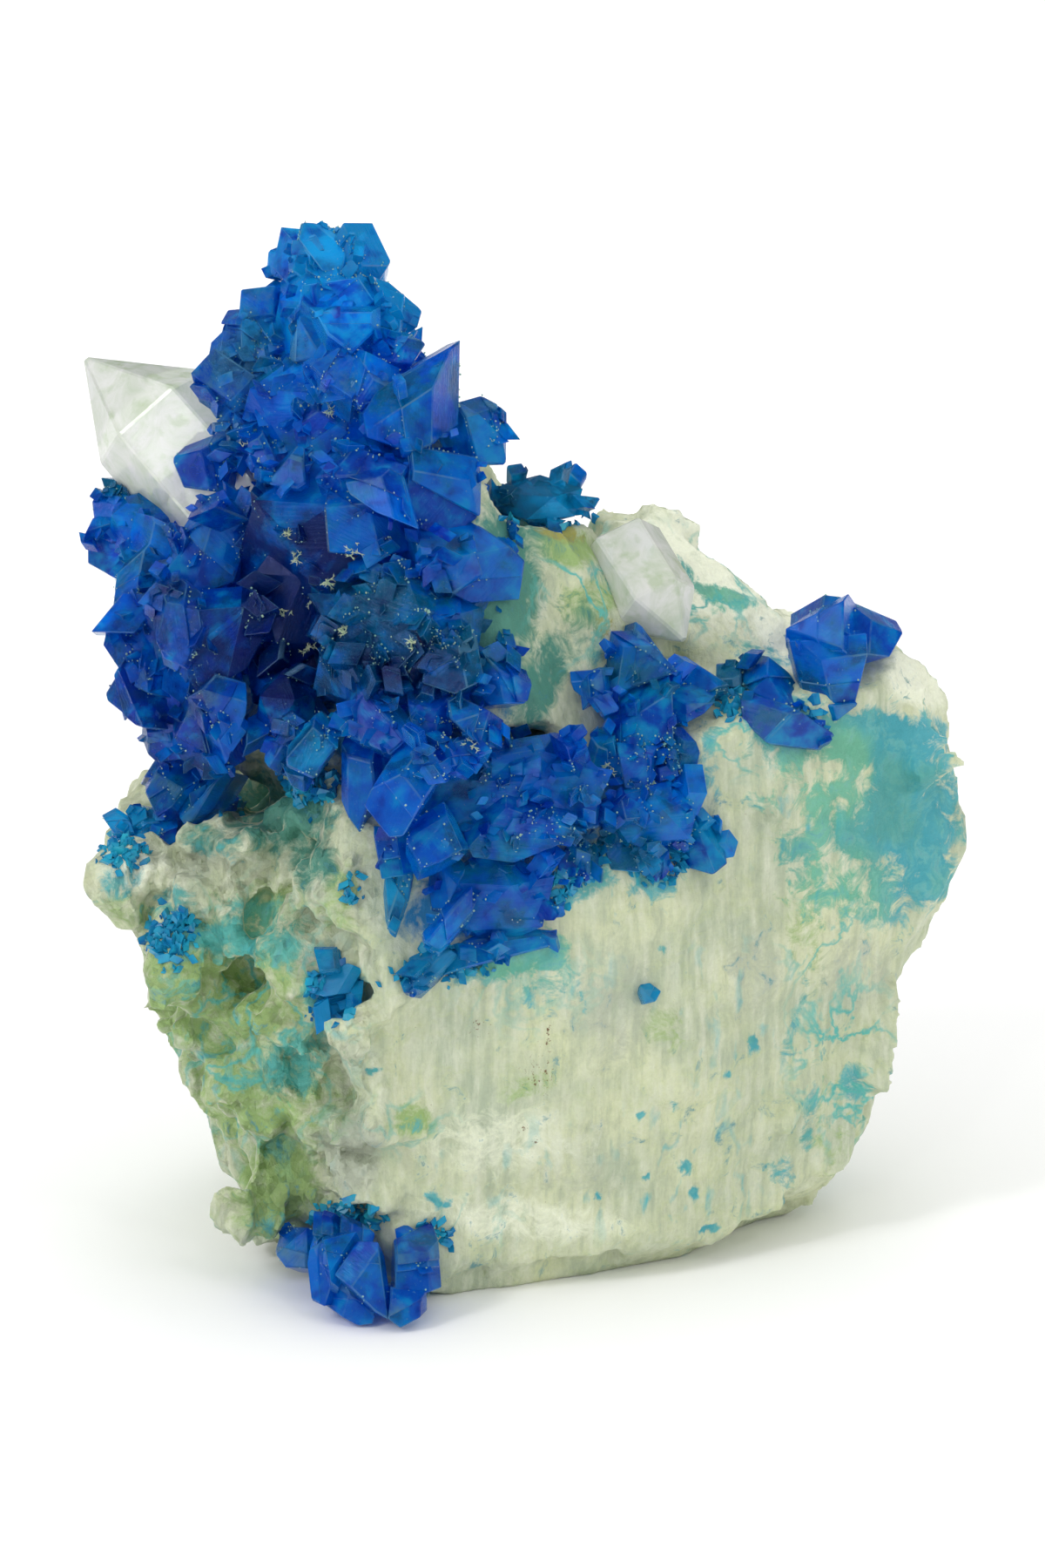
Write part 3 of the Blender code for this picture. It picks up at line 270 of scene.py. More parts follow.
# %% The crystals that can be told apart
SPIRE = (
    (6, 8, 10, 6, (-25.1, 119.1), (-20, 118.8), (-15.9, 115.4), (-16.3, 113.4), (-22.9, 113.6),
     (-25.6, 117.2)),
    (7, -20, 15, 5, (-29.2, 116.6), (-28.2, 117.5), (-26.1, 117.2), (-27.3, 113.2), (-29.4, 113.7)),
    (5, -12, 30, 5, (-27, 115.4), (-25.3, 116.9), (-22.9, 116.9), (-22.8, 113.9), (-25.3, 113.1),
     (-27, 114.3)),
    (8, 32, 0, 5, (-16.5, 113.2), (-14.4, 112.5), (-11.6, 109.1), (-12.5, 106), (-15.9, 107.7)),
    (3.5, 4, 12, 8, (-24.7, 113.4), (-20.6, 114), (-17.3, 113.4), (-15.9, 111.3), (-18.2, 109.4),
     (-25.3, 109.6)),
    (5, -25, 20, 8, (-32.6, 111.6), (-29.7, 114), (-26.7, 112.2), (-25.9, 109.3), (-29.4, 107.6),
     (-31.9, 109.4)),
    (-1, -40, 0, 9, (-35.2, 106.3), (-34.4, 109.3), (-32.3, 109.4), (-32.2, 104.3), (-35.2, 104.6)),
    (2, -15, 8, 4, (-31.4, 106.6), (-30, 107.2), (-29.1, 106.3), (-31, 99.3), (-33.5, 99.3), (-32.9, 102.2)),
    (-1, -40, -5, 9, (-36.1, 102.8), (-35.2, 104), (-33, 103.7), (-33.6, 98.4), (-36.1, 99)),
    (1, -18, -4, 6, (-27.1, 103.1), (-26.9, 106.9), (-25.9, 109.6), (-23.5, 109), (-21.5, 105.7),
     (-22.9, 103.8)),
    (1, 10, 26, 7, (-24, 110), (-18.2, 110.1), (-16, 110.4), (-16, 107.6), (-19.4, 104.2), (-22, 106.2)),
    (4, 24, 38, 6, (-16.5, 108.7), (-13.5, 108.1), (-11.2, 105.2), (-12.7, 102.9), (-16.8, 103.6)),
    (-2, 2, 34, 6, (-25, 103.4), (-23.2, 104.6), (-18.2, 104.2), (-16.8, 103.4), (-19.4, 99.0),
     (-22.3, 100.9)),
    (0, 28, -14, 7, (-19.4, 99.5), (-16.8, 103.6), (-12.9, 101.8), (-14.6, 99.4), (-18.2, 97.6)),
    (-2.5, 12, -4, 9, (-17.6, 96.7), (-15.9, 99.3), (-12.9, 101.3), (-5.9, 105.4), (-6.1, 95.5),
     (-12.4, 92.8), (-17.3, 94.4)),
    (1.5, -14, 4, 6, (-30.8, 102.2), (-29.1, 103.6), (-26, 103.2), (-26.6, 98.2), (-30.3, 98.2)),
    (0.5, -8, -10, 6, (-25.9, 99.6), (-23, 101.5), (-19.6, 99.3), (-20.1, 95), (-23.5, 91.6), (-25.9, 94.5)),
    (2, -6, -16, 6, (-30.2, 98.8), (-26.4, 99.4), (-24.8, 95), (-27.2, 92.8), (-30.6, 95.6)),
    (1, 26, 4, 9, (-6.9, 98.4), (-3.9, 99.3), (-1.5, 96.9), (-1.2, 95.3), (-2.1, 91.6), (-5.2, 91.6)),
    (-1, -19, 15, 4, (-34.7, 96.4), (-32.2, 98.6), (-31.1, 97.2), (-31.2, 95.3), (-33.2, 93.2),
     (-34.4, 94.2)),
    (-3, -19, 15, 3.4, (-31.4, 95.2), (-30.1, 95.8), (-28.4, 92.3), (-28.2, 89.2), (-31.1, 91.5)),
    (-3.3, -17, 17, 3.6, (-28.7, 92.3), (-27, 94.3), (-25.2, 93.7), (-24.7, 89.3), (-25.6, 88.7),
     (-28.7, 89.2)),
    (0, -26, 6, 7, (-39.5, 96), (-35, 97), (-34.1, 93), (-34.8, 88.6), (-38.8, 89.2), (-40, 92)),
    (-5, -19, 14, 4, (-20.6, 90.8), (-16.5, 91.4), (-14.1, 90.5), (-12.4, 84.2), (-16.5, 85.8),
     (-19.4, 87.8)),
    (-3, -4, 32, 8, (-23.8, 91.2), (-20.3, 95.7), (-15.9, 94), (-12, 93.4), (-13.8, 90.2), (-20.6, 89.8)),
    (-2, 20, -6, 9, (-12.3, 93.2), (-4.7, 91.9), (-4.3, 89.9), (-4.9, 85.6), (-8.8, 82.8), (-13, 85)),
    (-3.5, 24, -12, 9, (-10.8, 83.2), (-4.4, 84.6), (0, 80.2), (-0.6, 76.1), (-5.9, 75.7), (-10.8, 78.3)),
    (-2.5, -6, -8, 9, (-22.5, 90.2), (-20.2, 90.4), (-16.2, 86.2), (-12, 84.2), (-11.2, 80.6), (-21.8, 81.4)),
    (0.5, -14, 14, 6, (-26, 88.2), (-23.3, 88.7), (-22.3, 86.2), (-22.3, 83.7), (-24.4, 82.3), (-26.2, 83.4)),
)
LEFT_LOBE = (
    (-2, -26, 4, 8, (-40.3, 82.7), (-36.7, 88), (-33, 87.6), (-32.2, 84.7), (-34.2, 78.3), (-37.9, 76.8),
     (-40.5, 79.7)),
    (1, 16, -10, 7, (-32.8, 84.9), (-30.3, 87.9), (-28.6, 85.9), (-28.9, 82.9), (-30.6, 81.5), (-32.8, 82.3)),
    (-3, -8, -4, 9, (-37.4, 77), (-29.7, 77.6), (-28.9, 76.2), (-30.1, 71.2), (-31.8, 68.2), (-37.3, 65.1),
     (-38.1, 68.6)),
    (-3, 8, -14, 8, (-37.9, 64.2), (-34.7, 67), (-31.3, 66), (-31.6, 63), (-33.6, 57.8), (-35, 55.7)),
    (-2.5, -34, -10, 7, (-39.3, 65.2), (-37.3, 64.4), (-35.1, 55.9), (-39.1, 58), (-41, 62)),
    (-5.5, -22, 6, 5, (-42, 79.2), (-39.4, 78.8), (-37.1, 76.8), (-36.5, 72.7), (-38.2, 68.3), (-40.5, 69.3),
     (-43.1, 74.8)),
    (4, -30, -6, 6, (-50.2, 83.3), (-48.2, 85), (-44.3, 83), (-44.6, 79.4), (-46.4, 78.5), (-50.2, 80.6)),
    (3.5, -20, 12, 8, (-49.7, 88.3), (-47.6, 89.6), (-42.3, 89.3), (-42.2, 84.1), (-44.3, 82), (-49.1, 83.7)),
    (0, -30, 20, 6, (-46.4, 80.2), (-43.2, 83), (-40.8, 82.9), (-41.6, 78.8), (-45.8, 76.4), (-46.9, 75.6)),
    (-1, -32, 6, 8, (-46.9, 75.8), (-43.3, 75.6), (-41.4, 71), (-40.6, 64.6), (-45, 66.6), (-48, 71)),
    (-1.5, -40, 0, 8, (-48.6, 68.4), (-47, 71), (-43.3, 66.4), (-40.8, 60.8), (-44, 61.8), (-47.6, 64.6)),
    (0, -24, -16, 9, (-44, 62.4), (-39.8, 61.4), (-38.6, 58), (-42, 57.6), (-44.2, 59.6)),
    (3, -26, 26, 9, (-43.2, 56.2), (-39.1, 58.2), (-37.1, 57), (-40.3, 52.6), (-42, 51.5), (-43.8, 55.1)),
    (3, -14, 0, 9, (-40.2, 52.6), (-36.4, 56.4), (-33.3, 56.2), (-35.8, 52), (-38.6, 50.3)),
    (4, 10, -6, 7, (-30.4, 81.4), (-25.3, 81.6), (-25.2, 71), (-29, 68.8), (-30.4, 75)),
    (5, 6, -10, 7, (-31.4, 69.4), (-26.8, 69.4), (-27.2, 63.8), (-30.7, 63.8)),
)
CENTRE = (
    (-2, -24, 2, 5, (-29.1, 59.8), (-27.1, 62.3), (-25.7, 62.5), (-26.9, 58.1), (-28.2, 56.1), (-29.3, 57.7)),
    (-4, -4, 6, 5, (-26.8, 59.5), (-23, 63.9), (-20.5, 61.7), (-21.5, 58.9), (-23.7, 55.8), (-26.5, 57.1)),
    (-2, 4, -20, 4, (-27.1, 56.8), (-23.6, 56.2), (-23.6, 54.8), (-24.4, 53.9), (-26.2, 54.8)),
    (-4, -8, 8, 8, (-10.1, 73.3), (-8.2, 73.5), (-5.6, 72.2), (-4.6, 67), (-7.6, 65.4), (-11.2, 66.6)),
    (-4, 22, 10, 7, (-6, 72), (-0.9, 69.3), (0.8, 66.8), (0.2, 64.3), (-3.3, 64.2), (-5, 66.9)),
    (-5, 14, -6, 6, (-7.9, 64.4), (-6.7, 64.8), (-1.7, 62), (-2.6, 58.9), (-4.8, 59.1), (-7.9, 62.3)),
    (-4.5, 6, 24, 5, (-10.4, 60), (-5.8, 61.1), (-3.5, 58.8), (-6.4, 57.3), (-9.4, 57)),
    (-7, -8, 2, 6, (-14.8, 59.4), (-12, 60.8), (-9.3, 57.3), (-9.7, 55.7), (-13.4, 49.5), (-14.9, 49.3),
     (-17.6, 52.7)),
    (-7, 8, 20, 6, (-11.9, 51.5), (-8.8, 53.4), (-7.4, 52.1), (-5.7, 48.4), (-9.1, 46.5), (-11.3, 45.7),
     (-12.9, 48.7)),
    (-1.5, -12, 18, 7, (-20.3, 66.6), (-15, 65.4), (-11.8, 61.4), (-15, 58.6), (-20, 60.8)),
    (-1.5, -22, -6, 6, (-20.9, 61.3), (-17.5, 60.4), (-16.8, 55), (-18.5, 49.8), (-20.9, 53)),
    (-1.5, 4, -8, 6, (-13.2, 66.3), (-7.8, 65.4), (-7.8, 60.3), (-12.2, 60.2)),
)
BAND = (
    (-3.4, -19, 15, 1.5, (-2.3, 57.2), (0.9, 58.4), (2, 58.3), (2, 55.8), (-2.2, 56)),
    (-2, 10, 16, 6, (-3.5, 60), (4, 61.3), (4.9, 57.6), (4.8, 56.3), (-3.5, 55.4)),
    (-6, 8, -10, 8, (-7, 50.5), (-3.3, 54.6), (0.4, 53.4), (8, 53.8), (6.7, 49.5), (3.4, 48),
     (-0.9, 46.3), (-5.3, 46.9)),
    (-3, -18, 16, 4, (1, 53), (2.2, 55.6), (8.2, 55.4), (6, 52.8)),
    (-5, 10, 6, 6, (-4.2, 43.8), (0.4, 47), (1.9, 46.8), (5.7, 42.3), (3.4, 39.7), (-0.9, 39.6), (-3.7, 41)),
    (-2, 6, -4, 4, (4, 46.9), (6.2, 48.2), (9.3, 48.1), (9.3, 45.5), (6.2, 44.2), (4.2, 45.2)),
    (-2.5, 16, -6, 5, (8.9, 49.6), (12, 51.7), (14.2, 51.5), (15.2, 46.5), (13.2, 45.1), (10.2, 45.4)),
    (-1, 10, -16, 3, (13.8, 47.4), (16.7, 47.9), (17, 45.2), (15.4, 43.8), (13.5, 44.9)),
    (-2, 18, 18, 5, (16.7, 55.3), (19.7, 54), (20.1, 51.4), (18.1, 50.6), (16.4, 52)),
    (-1.5, -6, 6, 4, (-17, 50.4), (-13, 50), (-12.4, 45), (-15.9, 44.4)),
    (-1.5, -10, 0, 2.4, (-15.2, 45.9), (-13.4, 46.2), (-12.5, 44.7), (-13, 42), (-14.6, 37.4),
     (-15.7, 39.2), (-16, 42.6)),
    (-7, 4, 28, 3, (-7.6, 43), (-5.8, 43), (-5.4, 41), (-9.4, 36.4), (-11.1, 37.3), (-11.4, 38.6)),
    (-2.5, -6, 20, 3.5, (-14.8, 35.5), (-10.3, 36.7), (-7.3, 35.8), (-11.9, 31.5), (-13.4, 31.5),
     (-13.7, 33.4)),
    (-3, 12, 12, 4, (-8.8, 36.1), (-2.1, 39.4), (4, 40.3), (3.4, 36.7), (-2.7, 36.5), (-8.8, 33.6)),
    (-4, 0, 10, 5, (-11.2, 45.2), (-7, 46.8), (-4.3, 44), (-6, 40.4), (-10.5, 41)),
    (-1.5, 14, 30, 6, (8.6, 55.2), (13, 56.4), (16.7, 55.2), (16.7, 51.4), (9.6, 50.8)),
    (-2, 16, 6, 5, (4.6, 57.2), (9.2, 55.4), (9.4, 50.4), (5.4, 49.6)),
    (-2.5, 18, 0, 8, (17.2, 54), (21, 54.2), (24.1, 50.1), (23.2, 46.1), (21.7, 44.9), (18.9, 45.7),
     (17, 50.4)),
)
RIGHT_GROUP = (
    (0, -6, 8, 6, (9.7, 73), (12.6, 73), (17.5, 67.9), (16, 67.3), (11.7, 65.9), (8.9, 67.8)),
    (1, 26, 0, 4, (13.4, 73.6), (16.3, 69.7), (15, 68.6), (13, 71.4)),
    (1, 22, 34, 4, (16.7, 69), (19.9, 69.4), (23, 67.4), (23.8, 66), (20.6, 65.3)),
    (-2, 2, -4, 8, (11.7, 66.3), (16.8, 68.2), (17, 58.8), (14.6, 57.6), (11.7, 58.3), (9.1, 62.6),
     (8.8, 64.4)),
    (-1, 26, -10, 6, (16.5, 65.8), (23.6, 66.2), (20.6, 63.1), (17, 61.2)),
    (1, -20, 0, 5, (5.1, 67.8), (8.9, 68.1), (9.4, 64.5), (7.8, 64.2), (5.9, 65.7)),
    (0, -16, -12, 5, (7.8, 61), (11.5, 59.6), (11.8, 55.6), (9.6, 55.9), (7, 58.2)),
    (0, 20, -6, 5, (17, 61.3), (19.2, 61.3), (20.2, 58.6), (19.8, 56.7), (18.9, 55.4), (16.3, 58.6)),
    (-0.5, 6, -10, 7, (10.9, 59.4), (17.1, 59.2), (16.7, 54.6), (11.8, 54.6)),
)
SHOULDER_GROUP = (
    (-3, 34, 12, 11, (36.6, 77.5), (44.4, 74.3), (44, 72.9), (42.2, 69.8), (36.1, 70.5)),
    (-3.2, -22, 16, 8, (29.2, 71.5), (32.4, 75.2), (36.7, 77.4), (36.5, 70.5), (31.2, 70.8)),
    (-1.5, 16, -20, 6, (39.9, 71.7), (38.1, 64.4), (33.9, 61.2), (32.8, 64), (31.2, 70.6)),
    (-1, -4, 10, 6, (24.5, 69), (26.4, 71.1), (30.6, 68.6), (33.2, 64.4), (30.3, 63.7), (26.5, 65.5),
     (25, 66.9)),
    (1, -20, 10, 6, (25, 65.8), (30, 64.2), (34.4, 61.6), (32.5, 59.6), (28, 59.8), (25.3, 62.3)),
    (3, -10, 0, 4, (21.7, 69), (24.8, 69.2), (25.4, 63.5), (23.2, 63.6)),
)
FOOT_GROUP = (
    (-8.5, -38, 4, 8, (-24, 3.4), (-22.9, 3.9), (-21.7, 1), (-21.6, -1), (-22.7, -4.5), (-24.1, -3.9),
     (-24.6, 0.1)),
    (-8.5, 4, 30, 6, (-23, 4.8), (-21.3, 5.2), (-18, 2.9), (-20.9, -1.4), (-21.8, -1.2)),
    (-9, 6, -6, 9, (-21.8, -0.8), (-20.9, -1.1), (-16.8, -4.8), (-17.3, -6.6), (-18.8, -6.8), (-22.9, -4.6)),
    (-8, 20, 0, 9, (-18.1, 2.7), (-16.3, 2.5), (-14.9, 1.1), (-13.8, -6.9), (-16.8, -5), (-20.8, -1)),
    (-8.4, 10, -4, 9, (-14.8, -2.6), (-10.7, -3), (-10.7, -5.3), (-13.9, -7), (-15.2, -6)),
    (-6, 8, 6, 7, (-14.4, 3.1), (-10.6, 5.2), (-9.7, 5.3), (-9.1, -2.4), (-12.9, -3.5), (-14.4, -3.7)),
    (-4, -10, 10, 8, (-28.8, 3.9), (-27.9, 4.7), (-22.6, 3.3), (-22.6, -0.7), (-27.2, -0.4), (-28.6, 1.4)),
    (-4, -6, 24, 5, (-23.9, 6.1), (-22.5, 6.3), (-20.4, 5.6), (-20.2, 3), (-24, 3.4)),
    (-3.5, 10, 20, 5, (-20.6, 6.2), (-18.6, 5.4), (-17, 3.4), (-17.4, 2), (-20.8, 2.6)),
)
LEDGE_GROUP = (
    (0, -14, 26, 2.5, (-48.6, 51.6), (-47, 52.5), (-45.6, 51.6), (-44.8, 49.6), (-47, 49.4)),
    (1.5, -10, 34, 4, (-45.8, 52.2), (-44, 53.4), (-42.2, 53), (-41.8, 50.6), (-44.5, 50.5)),
    (0.5, -22, -4, 5, (-47.1, 49.9), (-45.4, 51.1), (-42, 51), (-41.8, 48.1), (-43.3, 45.5),
     (-47.2, 45.2), (-47.8, 47.4)),
    (1, 16, 4, 4, (-42.6, 50.6), (-39.6, 51.4), (-39.9, 48.4), (-42.4, 47.4)),
)
POCKET_GROUP = (
    (-1, -14, 6, 4, (-40.6, 42.1), (-37.7, 42), (-37.7, 40.3), (-39.9, 35.2), (-42.5, 35.8), (-42.5, 38.2)),
    (-0.5, 10, 0, 3.5, (-39, 39.4), (-36.6, 39.6), (-36.2, 36.2), (-38, 35.2), (-39.9, 36.4)),
)
CREVICE_GROUP = (
    (-0.5, -16, 10, 5, (-24.8, 32.7), (-22.5, 33.9), (-20, 34.5), (-18.5, 34), (-20, 31.4),
     (-22.5, 30.9), (-24.1, 31.3)),
    (-1, -10, 30, 4, (-23.9, 29.3), (-21.8, 31.1), (-19.5, 31.6), (-19.3, 30), (-22.5, 28.9)),
    (-1, 8, 0, 4, (-19.9, 32.3), (-18, 32.7), (-18.5, 29.7), (-19.2, 27.4), (-20.1, 28.8)),
    (0, -6, 20, 4, (-23.8, 36.6), (-20.3, 36.6), (-20, 34), (-23, 33.6)),
)
DROP_GROUP = (
    (-0.6, 10, 8, 3.4, (13.6, 32.6), (14.6, 32.6), (15.8, 31.3), (15.2, 30.2), (13.9, 29.9), (13.3, 31.2)),
)
CLUSTERS = {
    "chalcanthite_main_cluster": SPIRE + LEFT_LOBE + LEDGE_GROUP + CENTRE + BAND + RIGHT_GROUP,
    "chalcanthite_shoulder_cluster": SHOULDER_GROUP,
    "chalcanthite_foot_cluster": FOOT_GROUP,
    "chalcanthite_pocket_cluster": POCKET_GROUP,
    "chalcanthite_crevice_cluster": CREVICE_GROUP,
    "chalcanthite_drop_crystal": DROP_GROUP,
}
# Lobes that the main cluster's crystals stand on, as
# (x, rise, inset, radius across, radius through, radius up, crystals, their length)
LOBES = (
    (-22.0, 108.0, 9, 8, 8, 8.5, 12, 7.5),
    (-21.0, 97.0, 10, 14, 10, 11, 14, 8.5),
    (-18.5, 84.0, 10, 16.5, 11, 12, 12, 9.0),
    (-38.0, 70.5, 7, 7.5, 9, 15.0, 13, 8.5),
    (-43.0, 84.5, 7, 6, 5, 5.5, 10, 5.0),
    (-14.0, 70.5, 5, 11, 8, 11, 5, 6.5),
    (-4.0, 54.0, 2, 16, 5, 6.0, 5, 6.5),
    (14.0, 51.5, 2, 7, 5, 4.5, 3, 6.0),
    (-3.5, 42.0, 1, 8, 4, 6, 3, 5.5),
    (14.0, 63.0, 4, 4.5, 4, 6, 3, 6.0),
    (-26.5, 76.0, 5, 5.5, 5, 9, 9, 6.0),
    (-27.0, 63.5, 4, 4.0, 4, 5, 6, 5.0),
)
# Crowds of small crystals on the side that shows, as
# (x, rise, half width, half height, how many, shortest, longest)
CROWDS = (
    (-16.5, 74.0, 9.5, 8.0, 75, 2.6, 5.6),
    (-16.5, 63.0, 8.0, 5.0, 30, 2.2, 4.6),
    (-5.0, 70.0, 6.0, 6.0, 26, 2.0, 4.2),
    (-26.5, 74.0, 4.5, 10.0, 30, 3.2, 6.2),
    (-27.0, 62.0, 4.0, 6.0, 14, 2.6, 4.6),
    (-46.0, 90.5, 4.5, 3.0, 44, 1.3, 2.8),
    (-43.0, 84.0, 6.0, 5.0, 22, 2.0, 4.0),
    (-21.0, 117.0, 7.0, 3.0, 26, 1.8, 3.6),
    (-23.0, 106.0, 9.0, 9.0, 55, 2.0, 4.4),
    (-33.0, 100.0, 4.0, 9.0, 26, 2.4, 4.6),
    (-24.0, 93.0, 10.0, 5.0, 34, 1.8, 3.6),
    (-8.0, 88.0, 7.0, 8.0, 22, 1.8, 3.8),
    (-1.0, 97.0, 3.0, 4.0, 18, 1.8, 3.6),
    (-41.0, 73.0, 6.0, 9.0, 34, 2.4, 5.2),
    (-36.0, 59.0, 6.0, 6.0, 22, 2.6, 4.8),
    (-4.0, 58.0, 12.0, 3.5, 44, 1.8, 3.8),
    (-1.0, 46.0, 11.0, 5.0, 30, 1.8, 3.8),
    (12.0, 50.0, 9.0, 4.5, 34, 1.8, 3.8),
    (14.0, 63.0, 6.5, 7.0, 22, 1.8, 3.6),
    (-45.0, 50.0, 4.5, 3.0, 18, 1.6, 3.2),
    (-32.0, 90.0, 3.5, 3.5, 16, 2.6, 5.0),
    (9.5, 51.5, 5.0, 5.0, 24, 1.8, 3.4),
    (15.5, 56.5, 3.5, 4.0, 16, 1.8, 3.2),
    (0.0, 50.0, 8.0, 6.0, 24, 1.6, 3.2),
)
BACK_DRUSE = (2.0, 87.6, 8, 5.5, 4.0, 3.0, 12, 3.8)
print(sum(len(rows) for rows in CLUSTERS.values()), "crystals are told apart")

# %% [markdown]
# A leaning box that is seen from anywhere but straight ahead shows two or three of its faces, not one. So
# each block's front gets one or two more facets, cut at a slant beside two of the sides of its outline,
# mostly the upper ones, where they catch the light.
#
# A block alone still looks like cut glass. A real chalcanthite crystal grows in layers, so its face is
# stepped: part of it stands a few tenths of a millimetre higher, ending in a straight edge that runs along
# one of the crystal's own sides. A step is a copy of the block, cut off along such a line and moved out.
# Every edge gets a narrow chamfer as well, because the soft sulfate never keeps a razor edge, and chamfers
# are what draws the fine pale lines along the crystals' edges.

# %% One crystal with its steps and chamfers
BACK_SHARE = 0.84  # a crystal's hidden face, as a share of its showing one
OVERLAP = 1.06  # how much a showing face is spread so that neighbours grow together
PROUD_SHARE = 0.35  # how much of a crystal's depth stands out of the rock at least
CHAMFER = 0.13
SMALL_CHAMFER = 0.06
STEP_HEIGHT = (0.2, 0.55)
STEP_PLACE = (-0.45, 0.5)  # where a step's edge runs, as a share of the way from the face's middle
STEP_INSET = 0.965
FLAT = math.radians(0.5)
FACET_SLANT = (32.0, 62.0)
FACET_PLACE = (0.05, 0.6)  # where a facet starts, as a share of the way from the face's middle to its side
FACET_SHUFFLE = 0.8  # the uppermost sides get the facets, but for this much chance
FACETS_APART = 0.5  # two facets whose directions agree more than this would be one


def clear_of_rock(place, proud):
    """The place, brought forward along the line of sight so that it stands proud of the rock."""
    start = place - SIGHT_LINE * VIEW_REACH * MM
    hit = rock_tree.ray_cast(start, SIGHT_LINE)[0]
    if hit is None:
        return place
    return start + SIGHT_LINE * min(VIEW_REACH * MM, (hit - start).length - proud * MM)


def faced_block(inset, swing, tip, depth, outline):
    """The block behind a face of this outline, with the face's middle, outward direction and corners."""
    middle_x = sum(x for x, rise in outline) / len(outline)
    middle_rise = sum(rise for x, rise in outline) / len(outline)
    middle = clear_of_rock(on_front(middle_x, middle_rise, inset), PROUD_SHARE * depth)
    turn = Matrix.Rotation(-SIGHT, 3, "X")
    turn = turn @ Matrix.Rotation(math.radians(swing), 3, "Z") @ Matrix.Rotation(math.radians(-tip), 3, "X")
    outward = turn @ Vector((0, -1, 0))
    bm = bmesh.new()
    face = []
    for x, rise in outline:
        x = middle_x + (x - middle_x) * OVERLAP
        rise = middle_rise + (rise - middle_rise) * OVERLAP
        near = seen(x, CORNER_Y, rise)
        front = near + SIGHT_LINE * (middle - near).dot(outward) / SIGHT_LINE.dot(outward)
        face.append(front)
        bm.verts.new(front)
        bm.verts.new(middle + (front - middle) * BACK_SHARE - outward * depth * MM)
    bmesh.ops.convex_hull(bm, input=bm.verts)
    bmesh.ops.recalc_face_normals(bm, faces=bm.faces)
    bmesh.ops.dissolve_limit(bm, angle_limit=FLAT, verts=bm.verts, edges=bm.edges)
    return bm, middle, outward, face


def chamfered(bm, width):
    """The shape with its edges chamfered, or as it was if the chamfer would spoil it."""
    spare = bm.copy()
    bmesh.ops.bevel(
        bm, geom=bm.edges[:] + bm.verts[:], offset=width * MM, segments=1, profile=0.5,
        affect="EDGES", clamp_overlap=True,
    )
    sound = all(len(edge.link_faces) == 2 for edge in bm.edges) and bm.calc_volume() > 0
    if sound:
        spare.free()
        return bm
    bm.free()
    return spare


def side_directions(face, middle, outward):
    """For each side of the face, the direction in the face's plane that leads out over that side."""
    middle_of_face = sum(face, Vector()) / len(face)
    found = []
    for number, corner in enumerate(face):
        after = face[(number + 1) % len(face)]
        across = (after - corner).cross(outward).normalized()
        if across.dot(corner - middle_of_face) < 0:
            across.negate()
        found.append((across, (corner - middle).dot(across)))
    return found


def add_facets(block, middle, outward, face, chance):
    """Cuts one or two slanting facets into the block's front."""
    sides = side_directions(face, middle, outward)
    sides.sort(key=lambda side: -side[0].z + chance.uniform(-FACET_SHUFFLE, FACET_SHUFFLE))
    chosen = sides[:1]
    for side in sides[1:]:
        if side[0].dot(chosen[0][0]) < FACETS_APART:
            chosen.append(side)
            break
    for across, reach in chosen:
        slant = math.radians(chance.uniform(*FACET_SLANT))
        normal = outward * math.cos(slant) + across * math.sin(slant)
        cut_by(block, normal, middle + across * reach * chance.uniform(*FACET_PLACE))
    bmesh.ops.recalc_face_normals(block, faces=block.faces)


def steps(block, middle, outward, face, chance):
    """One or two copies of the block, each cut off along a line beside one of the face's sides and raised."""
    made = []
    for number in range(chance.choice((1, 1, 2))):
        across, reach = chance.choice(side_directions(face, middle, outward))
        step = block.copy()
        cut_by(step, across, middle + across * reach * chance.uniform(*STEP_PLACE))
        if len(step.faces) < 4:
            step.free()
            continue
        centre = sum((v.co for v in step.verts), Vector()) / len(step.verts)
        move = outward * chance.uniform(*STEP_HEIGHT) * MM * (number + 1)
        for v in step.verts:
            v.co = centre + (v.co - centre) * STEP_INSET + move
        bmesh.ops.recalc_face_normals(step, faces=step.faces)
        made.append(step)
    return made


def listed_crystals(rows, chance):
    """The stepped, chamfered crystals of a table."""
    shapes = []
    for row in rows:
        block, middle, outward, face = faced_block(*row[:4], row[4:])
        add_facets(block, middle, outward, face, chance)
        for shape in steps(block, middle, outward, face, chance):
            shapes.append(chamfered(shape, CHAMFER))
        shapes.append(chamfered(block, CHAMFER))
    return shapes


# %% [markdown]
# Behind and between the crystals that can be told apart there are many more that can't. Each lobe of the
# cluster gets a heart, with crystals standing out of it all round. Then smaller ones are strewn over the
# whole cluster, mostly where its faces are small, so that the large clean faces stay clean.

# %% The crystals that can't be told apart
COVERED_SIDE = -0.55  # lobe crystals that would point to the viewer more than this are left out
TILT_VARIES = 0.45
LENGTH_VARIES = (0.8, 1.25)
THICKNESS_SHARE = (0.32, 0.7)
WIDTH_SHARE = (1.1, 1.8)
LARGE_FACE = 7.0  # in square millimetres
CORNER_PULL = 0.05  # the least that each corner of a face pulls a sprout to itself
SPROUT_LENGTH = (1.6, 4.4)
SPROUT_POWER = 2  # the higher, the more of them are short
SPROUT_SUNK = 0.22  # how much of a sprout's length its middle is sunk by
SPROUT_TILT = 0.9
CROWD_POWER = 1.5
CROWD_SUNK = 0.2
CROWD_TILT = 0.5
CROWD_SPIN = 0.3
CROWD_FORWARD = 0.4  # how much they lean to the viewer
PARALLEL_REACH = 8.0  # crystals this near to one another have grown nearly parallel


